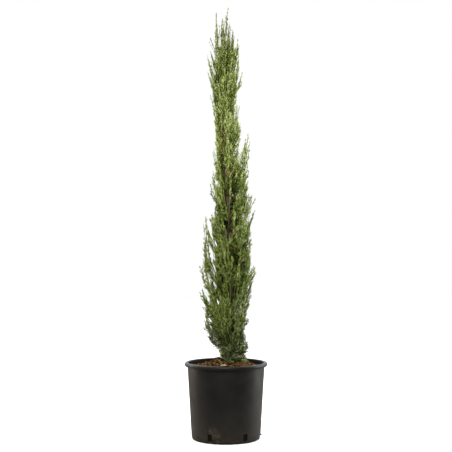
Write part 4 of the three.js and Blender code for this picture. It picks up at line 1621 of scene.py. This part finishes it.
@dataclass(frozen=True)
class Tinting:
    """The rule that gives sprays their tones and cords their tints."""

    # Tones: the middle, what is added outside (painted shade: sprays deeper inside are darker), high up and
    # low down, and how far plumes and sprays differ
    middle: float = 0.34
    outer_gain: float = 0.34
    high_gain: Fade = Fade(300, 1150, 0, 0.12)
    low_gain: float = -0.04
    low: Fade = Fade(450, 700, 1, 0)
    outer_from: float = 0.3
    outer_to: Range = (0.9, 0.7)
    open_top: Fade = Fade(1370, 1450, 0, 1)
    plume_range: Range = (0.42, 0.26)
    spray_range: Range = (0.44, 0.42)
    slim_loss: Fade = Fade(1330, 1430, 0.02, 0.14)
    # Patches of lighter and darker sprays: amount, across, half width, height and half height
    tone_patches: Rows = (
        (0.07, 0, np.inf, 1000, 90),
        # Painted shadow: the dark band at 340 mm, under the overhanging lobe.
        (-0.14, 0, np.inf, 340, 45),
        (0.14, 13, 30, 438, 42),
        (-0.08, 55, 30, 590, 75),
        (0.04, 0, np.inf, 620, 90),
        (-0.03, 0, np.inf, 1200, 90),
    )
    # Tints: tones at which a ladder's next step starts, and shares of sprays on the warm and cool ladders
    steps: tuple[float, ...] = (0.44, 0.58, 0.74, 0.9)
    crest_height: float = 1370.0
    crest_least: float = 0.46
    warm_share: Fade = Fade(500, 1000, 0.1, 0.85)
    cool_shares: Range = (0.08, 0.75)
    cool_foot: Fade = Fade(330, 450, 1, 0)
    cool_patches: Rows = ((1, 54, 26, 458, 42),)
    crest_share: Fade = Fade(1340, 1420, 0, 0.85)
    # Spots where old sprays have withered, as seen from the front: across, height and half sizes
    withered: Rows = (
        (-10, 1050, 5, 45),
        (7, 927, 5, 10),
        (24, 930, 5, 11),
        (17, 839, 5, 9),
        (24, 715, 6, 11),
        (24, 662, 6, 11),
        (52, 620, 5, 7),
        (8, 476, 6, 6),
    )
    withered_share: float = 0.55
    # Clumps of withered sprays inside the crown's middle: pitch, seed and level of a field of waves
    clump_pitch: Range = (9, 14)
    clump_seed: float = 5.0
    clump_level: float = 0.55
    clump_share: float = 0.3
    clump_reach: float = 0.62
    clump_height: float = 860.0
    clump_half_height: float = 260.0

    def tone(self, plumes: Plumes, item: Array, base: Array, share: Array) -> Array:
        """Gives how light each spray is: lighter outside and high up, darker inside and at the foot; darker
        inside is painted shade.

        Args:
            plumes: The axes, which lean to light or dark as a whole.
            item: Numbers of the sprays, plumes by sprays.
            base: The sprays' feet.
            share: How far out the sprays' tips are.

        Returns:
            Tones of about 0.2 to 1.1.
        """
        across, height = base[..., 0], base[..., 2]
        low = self.low(height)
        # Painted shade: sprays deeper inside the crown are darker.
        outside = smoothstep(share, self.outer_from, lerp(*self.outer_to, low))
        return (
            self.middle
            + self.outer_gain * np.maximum(outside, self.open_top(height))
            + self.high_gain(height)
            + self.low_gain * low
            + lerp(*self.plume_range, low) * (chance(plumes.item, 21)[:, None] - 0.5)
            + lerp(*self.spray_range, low) * (chance(item, 22) - 0.5)
            - plumes.slim * self.slim_loss(height)
            + patches(self.tone_patches, across, height)
        )

    def deal(self, item: Array, place: Array, share: Array, tone: Array) -> Array:
        """Deals tints to cords: a step on one of the ladders, or straw where a clump has withered.

        Sprays high up take mostly the warm ladder, those in the middle the green one, and those at the
        foot and on the crest the cool one.

        Args:
            item: Numbers of the sprays, n.
            place: Middles of the cords, n by cords by 3.
            share: How far out the sprays are, n.
            tone: How light the cords are, n by cords.

        Returns:
            Numbers of leaf tints, n by cords.
        """
        across, height = place[:, -1, 0], place[:, -1, 2]
        least = np.where(height > self.crest_height, self.crest_least, 0.0)[:, None]
        step = np.searchsorted(self.steps, np.maximum(tone, least))
        warm = chance(item, 23) < self.warm_share(height)
        coolness = np.maximum(self.cool_foot(height), patches(self.cool_patches, across, height))
        cool = ~warm & (chance(item, 25) < lerp(*self.cool_shares, coolness))
        cool |= chance(item, 26) < self.crest_share(height)
        green_row, warm_row, cool_row = range(len(Ladder))
        row = np.where(cool, cool_row, np.where(warm, warm_row, green_row))
        straw = self.is_withered(item, across, height, share)[:, None]
        return np.where(straw, TINT_NAMES.index("STRAW"), LADDER_STEPS[row[:, None], step])

    def is_withered(self, item: Array, across: Array, height: Array, share: Array) -> Array:
        """Tells which sprays are withered: some in the spots, and some clumps inside the crown.

        Args:
            item: Numbers of the sprays.
            across: Their places across.
            height: Their heights.
            share: How far out they are.

        Returns:
            True for each withered spray.
        """
        x, z, half_x, half_z = np.array(self.withered).T
        dx, dz = (across[:, None] - x) / half_x, (height[:, None] - z) / half_z
        pick = chance(item, 24)
        spotted = np.any(dx * dx + dz * dz < 1.0, axis=1) & (pick < self.withered_share)
        pitch_x, pitch_z = self.clump_pitch
        clump = ripple(across / pitch_x, height / pitch_z, self.clump_seed) > self.clump_level
        clump &= (pick < self.clump_share) & (share < self.clump_reach)
        return spotted | (clump & (np.abs(height - self.clump_height) < self.clump_half_height))


# Directions that no twig, spray, cord or plume's end runs along, from which their sides are taken.
TWIG_ASIDE = np.array([0.31, 0.95, 0.05])
SPRAY_ASIDE = np.array([0.83, -0.59, 0.18])
CORD_ASIDE = np.array([0.8, -0.55, 0.21])
END_ASIDE = np.array([0.7, -0.7, 0.1])

Leaves = tuple[Array, Array, Array]


@dataclass(frozen=True)
class Foliage:
    """Twigs and sprays of scale-clad cords that grow on from the shoots by the source's rule.

    Pairs of values are for a start and an end, for the streaming top and the bushy foot, or the limits
    of a chance.
    """

    crown: Crown
    tinting: Tinting = Tinting()
    # How bushy the crown is: 1 at its foot and 0 in the streaming upper part
    fuzz: Fade = Fade(310, 570, 1, 0)
    # Twigs
    twig_end: float = 0.96
    twig_rings: int = 7
    twig_sides: int = 3
    twig_radii: Range = (1.3, 0.65)
    green_from: float = 0.42
    green_gain: Fade = Fade(600, 1250, 0, 0.6)
    # Sprays along a plume
    sprays: int = 13
    spray_places: Range = (0.08, 1.0)
    spray_jitter: float = 0.8
    spray_closing: Range = (1.1, 0.7)
    spray_angles: Range = (0.5, 1.5)
    slim_opening: Fade = Fade(1200, 1380, 1, 2)
    last_angle: float = 0.05
    last_length: float = 1.5
    spray_rise: float = 0.6
    spray_lift: Range = (0.5, 0.1)
    spray_shortening: Range = (1.0, 0.45)
    spray_shape: float = 1.6
    spray_lengths: Range = (0.55, 1.35)
    spray_bow: float = 0.4
    # Which sprays are kept: none beyond the overshoot, and only a share of those near the outline
    overshoot: float = 1.03
    thin_from: float = 0.86
    thin_shares: Range = (0.6, 0.45)
    slim_share: float = 0.9
    # Cords along a spray, and the spray's own axis
    cords: int = 11
    cord_radius: float = 0.88
    cord_places: Range = (0.1, 0.92)
    cord_jitter: float = 0.7
    cord_closing: Range = (1.15, 0.5)
    cord_angles: Range = (0.65, 1.35)
    cord_room: float = 1.7
    cord_least: float = 0.35
    cord_shortening: Range = (1.15, 0.6)
    cord_lengths: Range = (0.7, 1.25)
    cord_belly: float = 0.42
    cord_bend: float = 0.3
    cord_radii: Range = (0.75, 1.2)
    cord_slimming: Range = (1.0, 0.7)
    # Cords lighter towards a spray's tip: partly fresh growth, partly painted shade at the base.
    cord_tone: float = 0.14
    cord_tones: Range = (0.7, 0.5)
    axis_belly: float = 0.24
    axis_stoutness: float = 1.6
    axis_tone: float = 0.04
    # Cords that clad the end of a plume's own axis
    ends: int = 9
    end_places: Range = (0.35, 0.86)
    end_length: float = 0.14
    end_jitter: float = 2.4
    end_belly: float = 0.45
    end_belly_jitter: float = 1.2
    end_tones: float = 0.2
    end_stoutness: float = 1.25
    zones: tuple[tuple[str, ...], ...] = (
        ("foot", "skirt"), ("low",), ("broad",), ("waist",), ("middle",),
        ("upper",), ("neck",), ("tuft",), ("crest",),
    )

    def habit(self, height: Array) -> list[Array]:
        """Returns the sprays' length and angle and their cords' length and angle at heights."""
        return [np.interp(height, HABIT[:, 0], column) for column in HABIT.T[1:]]

    def build(self) -> list[Object]:
        """Makes the twigs and the leaves.

        Returns:
            All pieces of the foliage.
        """
        plumes = PlumePlan(self.crown).plan()
        materials = [tint.material() for tint in LeafTint]
        pieces = [self.build_twigs(plumes)]
        names = [tier.name for tier in TIERS]
        for zone in self.zones:
            levels = [names.index(name) for name in zone]
            pieces.append(self.build_zone(plumes, levels, "_".join(zone), materials))
        return pieces

    def build_twigs(self, plumes: Plumes) -> Object:
        """Carries three-sided sections along all plumes' axes: brown inside and low, green outside."""
        count = len(plumes.item)
        u = np.linspace(0.0, self.twig_end, self.twig_rings)
        paths = plumes.at(np.tile(u, (count, 1)))
        radius = lerp(*self.twig_radii, u) * np.ones((count, 1))
        across = unit(np.cross(plumes.tip - plumes.foot, TWIG_ASIDE))
        points, faces = swept_tubes(paths, radius, self.twig_sides, across)
        middle = paths[:, len(u) // 2]
        _, share, _ = self.crown.flow(middle)
        green = (share + self.green_gain(middle[:, 2]) > self.green_from).astype(int)
        tints = np.concatenate([
            np.repeat(green, len(faces[0]) // count), np.tile(np.repeat(green, self.twig_sides), 2),
        ])
        materials = [WOODY_TWIG.material(), GREEN_TWIG.material()]
        return make_piece("bark", [], "twigs", points, faces, materials, tints=tints)

    def build_zone(
        self, plumes: Plumes, levels: list[int], name: str, materials: list[Material]
    ) -> Object:
        """Makes the leaves of some tiers as one piece.

        Args:
            plumes: All plumes.
            levels: Numbers of the tiers.
            name: Name of the zone.
            materials: The tints' materials, in their order.

        Returns:
            The piece, which stands for the masses of its tiers.
        """
        points, faces, tints = self.grow(plumes.some(np.isin(plumes.level, levels)))
        shoots = self.crown.shoots
        nodes = [f"foliage_{shoots.names[i]}" for i in np.flatnonzero(np.isin(shoots.level, levels))]
        if len(TIERS) - 1 in levels:
            nodes.append("foliage_leader")
        return make_piece(
            "foliage", nodes, f"scale_leaves_{name}", points, [faces], materials, tints=tints
        )

    def grow(self, plumes: Plumes) -> Leaves:
        """Grows sprays along plumes, and cords along sprays and on the plumes' ends.

        A spray leaves its axis by the golden angle and bends up. A cord leaves its spray the same way
        and is one sliver.

        Args:
            plumes: The axes.

        Returns:
            Vertices, triangles and the tint of each triangle.
        """
        number = np.arange(self.sprays)
        last = number == self.sprays - 1
        item = SPRAY_NUMBERS * plumes.item[:, None] + number
        u = lerp(*self.spray_places, (number + self.spray_jitter * chance(item, 1)) / self.sprays)
        base, along = plumes.at(u), plumes.ahead(u)
        height = base[..., 2]
        fuzz = self.fuzz(height)
        length, opening, _, _ = self.habit(height)
        angle = np.radians(opening) * lerp(*self.spray_closing, u)
        angle = angle * drawn(self.spray_angles, item, 2)
        angle = angle * np.where(plumes.slim, self.slim_opening(height), 1.0)
        angle = np.where(last, self.last_angle, angle)
        turn = number * GOLDEN_ANGLE + any_angle(plumes.item, 9)[:, None]
        out = leaned(along, turned_side(along, SPRAY_ASIDE, turn), angle)
        rise = unit(self.spray_rise * along + lerp(*self.spray_lift, fuzz)[..., None] * UP)
        length = length * lerp(*self.spray_shortening, u ** self.spray_shape)
        length = length * drawn(self.spray_lengths, item, 3)
        length = length * plumes.fullness[:, None] * np.where(last, self.last_length, 1.0)
        tip = base + length[..., None] * (out + self.spray_bow * (rise - out))
        _, share, _ = self.crown.flow(tip)
        pick = chance(item, 8)
        keep = (share < self.thin_from) | (pick < lerp(*self.thin_shares, fuzz))
        keep = (keep & (share < self.overshoot)) | (plumes.slim & (pick < self.slim_share))
        keep &= (tip[..., 2] > LEAF_FLOOR) & (tip[..., 2] < LEAF_CEILING)
        keep &= is_clear((base + tip) / 2.0, Clearance.SPRAY)
        tone = self.tinting.tone(plumes, item, base, share)
        sprays = Sprays(item, base, out, rise, length, fuzz, share, tone)
        cords, ends = self.grow_cords(sprays.some(keep)), self.grow_ends(plumes)
        return (
            np.concatenate([cords[0], ends[0]]),
            np.concatenate([cords[1], len(cords[0]) + ends[1]]),
            np.concatenate([cords[2], ends[2]]),
        )

    def grow_cords(self, sprays: Sprays) -> Leaves:
        """Grows each spray's side cords and its own axis, and leaves out cords beyond an opening.

        Args:
            sprays: The sprays.

        Returns:
            Vertices, triangles and the tint of each triangle.
        """
        number = np.arange(self.cords)
        cord = CORD_NUMBERS * sprays.item[:, None] + number
        v = lerp(*self.cord_places, (number + self.cord_jitter * chance(cord, 1)) / self.cords)
        start, along = sprays.at(v), sprays.ahead(v)
        turn = number * GOLDEN_ANGLE + any_angle(sprays.item, 7)[:, None]
        side = turned_side(along, CORD_ASIDE, turn)
        _, _, length, opening = self.habit(sprays.base[:, 2])
        angle = np.radians(opening)[:, None] * lerp(*self.cord_closing, v)
        aim = leaned(along, side, angle * drawn(self.cord_angles, cord, 2))
        length = length * np.clip(sprays.length / (self.cord_room * length), self.cord_least, 1.0)
        reach = length[:, None] * lerp(*self.cord_shortening, v) * drawn(self.cord_lengths, cord, 3)
        reach = reach[..., None]
        axis = sprays.at(np.array([[0.0, self.axis_belly, 1.0]]))
        foot = np.append(start, axis[:, 0:1], axis=1)
        belly = np.append(start + self.cord_belly * reach * aim, axis[:, 1:2], axis=1)
        tip = np.append(start + reach * unit(aim + self.cord_bend * along), axis[:, 2:3], axis=1)
        tone = sprays.tone[:, None]
        differing = lerp(*self.cord_tones, sprays.fuzz)[:, None] * (chance(cord, 5) - 0.5)
        # Cords lighter towards a spray's tip: partly fresh growth, partly painted shade at the base.
        tones = np.append(tone + self.cord_tone * (v - 0.5) + differing, tone + self.axis_tone, axis=1)
        tints = self.tinting.deal(sprays.item, belly, sprays.share, tones)
        radius = drawn(self.cord_radii, np.arange(tints.size), 4).reshape(tints.shape)
        radius = self.cord_radius * radius * lerp(*self.cord_slimming, sprays.fuzz)[:, None]
        radius = radius * np.append(np.ones(self.cords), self.axis_stoutness)
        off_side = 0.01
        across = np.broadcast_to(side[:, :1] + off_side, foot.shape)
        held = np.logical_and.accumulate(is_clear(start, Clearance.CORD), axis=1)
        keep = np.append(held, np.ones((len(held), 1), bool), axis=1) & (tip[..., 2] < LEAF_CEILING)
        return self.clad(foot, belly, tip, radius, across, tints, keep)

    def grow_ends(self, plumes: Plumes) -> Leaves:
        """Clads the outer part of each plume's own axis with cords that overlap like tiles.

        Args:
            plumes: The axes.

        Returns:
            Vertices, triangles and the tint of each triangle.
        """
        number = np.arange(self.ends)
        item = SPRAY_NUMBERS * plumes.item[:, None] + FIRST_END + number
        u = lerp(*self.end_places, number / (self.ends - 1)) * np.ones((len(plumes.item), 1))
        jitter = chances(item, 51, 52, 53) - 0.5
        foot = plumes.at(u)
        tip = plumes.at(u + self.end_length) + self.end_jitter * jitter
        belly = lerp(foot, tip, self.end_belly) + self.end_belly_jitter * jitter
        _, share, _ = self.crown.flow(tip)
        tone = self.tinting.tone(plumes, item, belly, share) + self.end_tones * (chance(item, 54) - 0.5)
        tints = self.tinting.deal(plumes.item, belly, share[:, -1], tone)
        radius = np.full(u.shape, self.end_stoutness * self.cord_radius)
        across = unit(np.cross(tip - foot, END_ASIDE))
        return self.clad(foot, belly, tip, radius, across, tints, np.ones(u.shape, bool))

    @staticmethod
    def clad(
        foot: Array, belly: Array, tip: Array, radius: Array, across: Array, tints: Array, keep: Array
    ) -> Leaves:
        """Makes one sliver of each cord that is to be kept and doesn't reach into an opening.

        Args:
            foot: Where the cords start, rows by cords by 3.
            belly: Their widest places.
            tip: Where they end.
            radius: Half their widths, rows by cords.
            across: Directions that aren't along them.
            tints: Numbers of their tints.
            keep: True for each cord to keep.

        Returns:
            Vertices, triangles and the tint of each triangle.
        """
        keep = keep & is_clear(belly, Clearance.CORD) & is_clear(tip, Clearance.CORD)
        points, faces = slivers(*[values[keep] for values in (foot, belly, tip, radius, across)])
        return points.reshape(-1, 3), faces.reshape(-1, 3), np.repeat(tints[keep], faces.shape[1])


# Studio


@dataclass(frozen=True)
class Softbox:
    """A rectangular lamp with a diffuser: where it stands, its size and its power."""

    name: str
    place: tuple[float, float, float]
    aim: tuple[float, float, float]
    width: float
    height: float
    watts: float
    colour: str = "#ffffff"


@dataclass(frozen=True)
class Studio:
    """A plain pale floor, soft light from all sides and a camera at the height of the lower crown."""

    # Where the camera stands, which also sets the lines of sight through the openings
    CAMERA_DISTANCE = 3530.8
    CAMERA_HEIGHT = 680.0
    focal_px: float = 1000.0
    horizon_px: float = 245.0
    sensor: float = 36.0
    floor_half: float = 9000.0
    floor_cells: int = 8
    floor_paint: tuple[str, str] = ("#f8f8f7", "#fdfdfd")
    floor_bounce: str = "#8c8a86"
    sky: str = "#ffffff"
    sky_low: float = 0.16
    sky_high: float = 2.1
    sky_curve: float = 1.7
    backdrop: float = 1.6
    boxes: tuple[Softbox, ...] = (
        Softbox("softbox_front", (-0.3, -2.7, 2.9), (0.0, 0.0, 0.8), 0.9, 0.9, 110.0),
        Softbox("softbox_left", (-1.7, 0.6, 0.8), (0.0, 0.0, 0.5), 0.5, 1.6, 21.0, "#ffe9d2"),
        Softbox("softbox_right", (1.7, 0.5, 0.8), (0.0, 0.0, 0.5), 0.5, 1.6, 35.0),
    )

    def build(self) -> None:
        """Sets up the floor, the light and the camera."""
        self.build_floor()
        self.build_light()
        self.build_camera()
        settings = bpy.context.scene.view_settings
        settings.view_transform = "Standard"
        settings.look = "None"

    def build_floor(self) -> None:
        """Lays a pale matt floor as a flat grid at height 0."""
        lines = self.floor_cells + 1
        line = np.linspace(-self.floor_half, self.floor_half, lines)
        x, y = np.meshgrid(line, line, indexing="xy")
        points = np.stack([x, y, np.zeros_like(x)], axis=-1).reshape(-1, 3)
        cell = np.arange(self.floor_cells)
        corner = (cell[:, None] * lines + cell).ravel()
        quads = np.stack([corner, corner + 1, corner + lines + 1, corner + lines], axis=-1)
        material, tree = new_material("studio_floor_matt_paint")
        place = add_node(tree, "TexCoord").outputs["Object"]
        cloud = add_node(tree, "TexNoise", {"Vector": place, "Scale": 2.0})
        dull, bright = (linear(paint) for paint in self.floor_paint)
        paint = add_node(tree, "Mix", {0: cloud, 6: dull, 7: bright}, data_type="RGBA")
        seen = add_node(tree, "LightPath").outputs["Is Camera Ray"]
        colour = add_node(tree, "Mix", {0: seen, 6: linear(self.floor_bounce), 7: paint}, data_type="RGBA")
        shader = add_node(tree, "BsdfPrincipled", {"Base Color": colour, "Roughness": 0.8})
        add_node(tree, "OutputMaterial", {"Surface": shader})
        make_object("studio_floor", points, [quads], [material])

    def build_light(self) -> None:
        """Makes the softboxes and a dome of light that is strongest overhead, before plain white."""
        world = bpy.data.worlds.new("white_surround")
        world.use_nodes = True
        tree = world.node_tree
        tree.nodes.clear()
        direction = add_node(tree, "TexCoord").outputs["Generated"]
        split = add_node(tree, "SeparateXYZ", {"Vector": direction})
        above = add_node(tree, "Math", {0: split.outputs["Z"], 1: 0.0}, operation="MAXIMUM")
        curve = add_node(tree, "Math", {0: above, 1: self.sky_curve}, operation="POWER")
        strength = add_node(tree, "MapRange", {
            "Value": curve, "To Min": self.sky_low, "To Max": self.sky_high,
        })
        behind = add_node(tree, "MapRange", {
            "Value": split.outputs["Y"], "From Min": 0.2, "From Max": 0.9, "To Max": self.backdrop,
        }, interpolation_type="SMOOTHSTEP")
        glow = add_node(tree, "Math", {0: strength, 1: behind}, operation="ADD")
        dome = add_node(tree, "Background", {"Color": linear(self.sky), "Strength": glow})
        plain = add_node(tree, "Background", {"Color": linear(self.sky), "Strength": 1.0})
        seen = add_node(tree, "LightPath").outputs["Is Camera Ray"]
        both = add_node(tree, "MixShader", {0: seen, 1: dome, 2: plain})
        add_node(tree, "OutputWorld", {"Surface": both})
        bpy.context.scene.world = world
        for box in self.boxes:
            lamp = bpy.data.lights.new(box.name, "AREA")
            lamp.shape = "RECTANGLE"
            lamp.size, lamp.size_y = box.width, box.height
            lamp.energy = box.watts
            lamp.color = linear(box.colour)[:3]
            holder = bpy.data.objects.new(box.name, lamp)
            holder.location = box.place
            toward = Vector(box.aim) - Vector(box.place)
            holder.rotation_euler = toward.to_track_quat("-Z", "Y").to_euler()
            bpy.context.scene.collection.objects.link(holder)

    def build_camera(self) -> None:
        """Stands the camera in front of the pot, pitched up so that the horizon falls in its place."""
        camera = bpy.data.cameras.new("camera")
        camera.sensor_width = self.sensor
        camera.lens = self.sensor * self.focal_px / IMAGE_SIDE
        holder = bpy.data.objects.new("camera", camera)
        pitch = np.arctan((self.horizon_px - IMAGE_SIDE / 2.0) / self.focal_px)
        holder.location = (0.0, -self.CAMERA_DISTANCE * MM, self.CAMERA_HEIGHT * MM)
        holder.rotation_euler = (np.pi / 2.0 + pitch, 0.0, 0.0)
        bpy.context.scene.collection.objects.link(holder)
        bpy.context.scene.camera = holder


def main() -> None:
    logging.basicConfig(level=logging.INFO, format="%(message)s")
    crown = Crown()
    pot = Pot()
    Studio().build()
    pot.build()
    PottingMix(pot).build()
    Wood(crown).build()
    Foliage(crown).build()


if __name__ == "__main__":
    main()
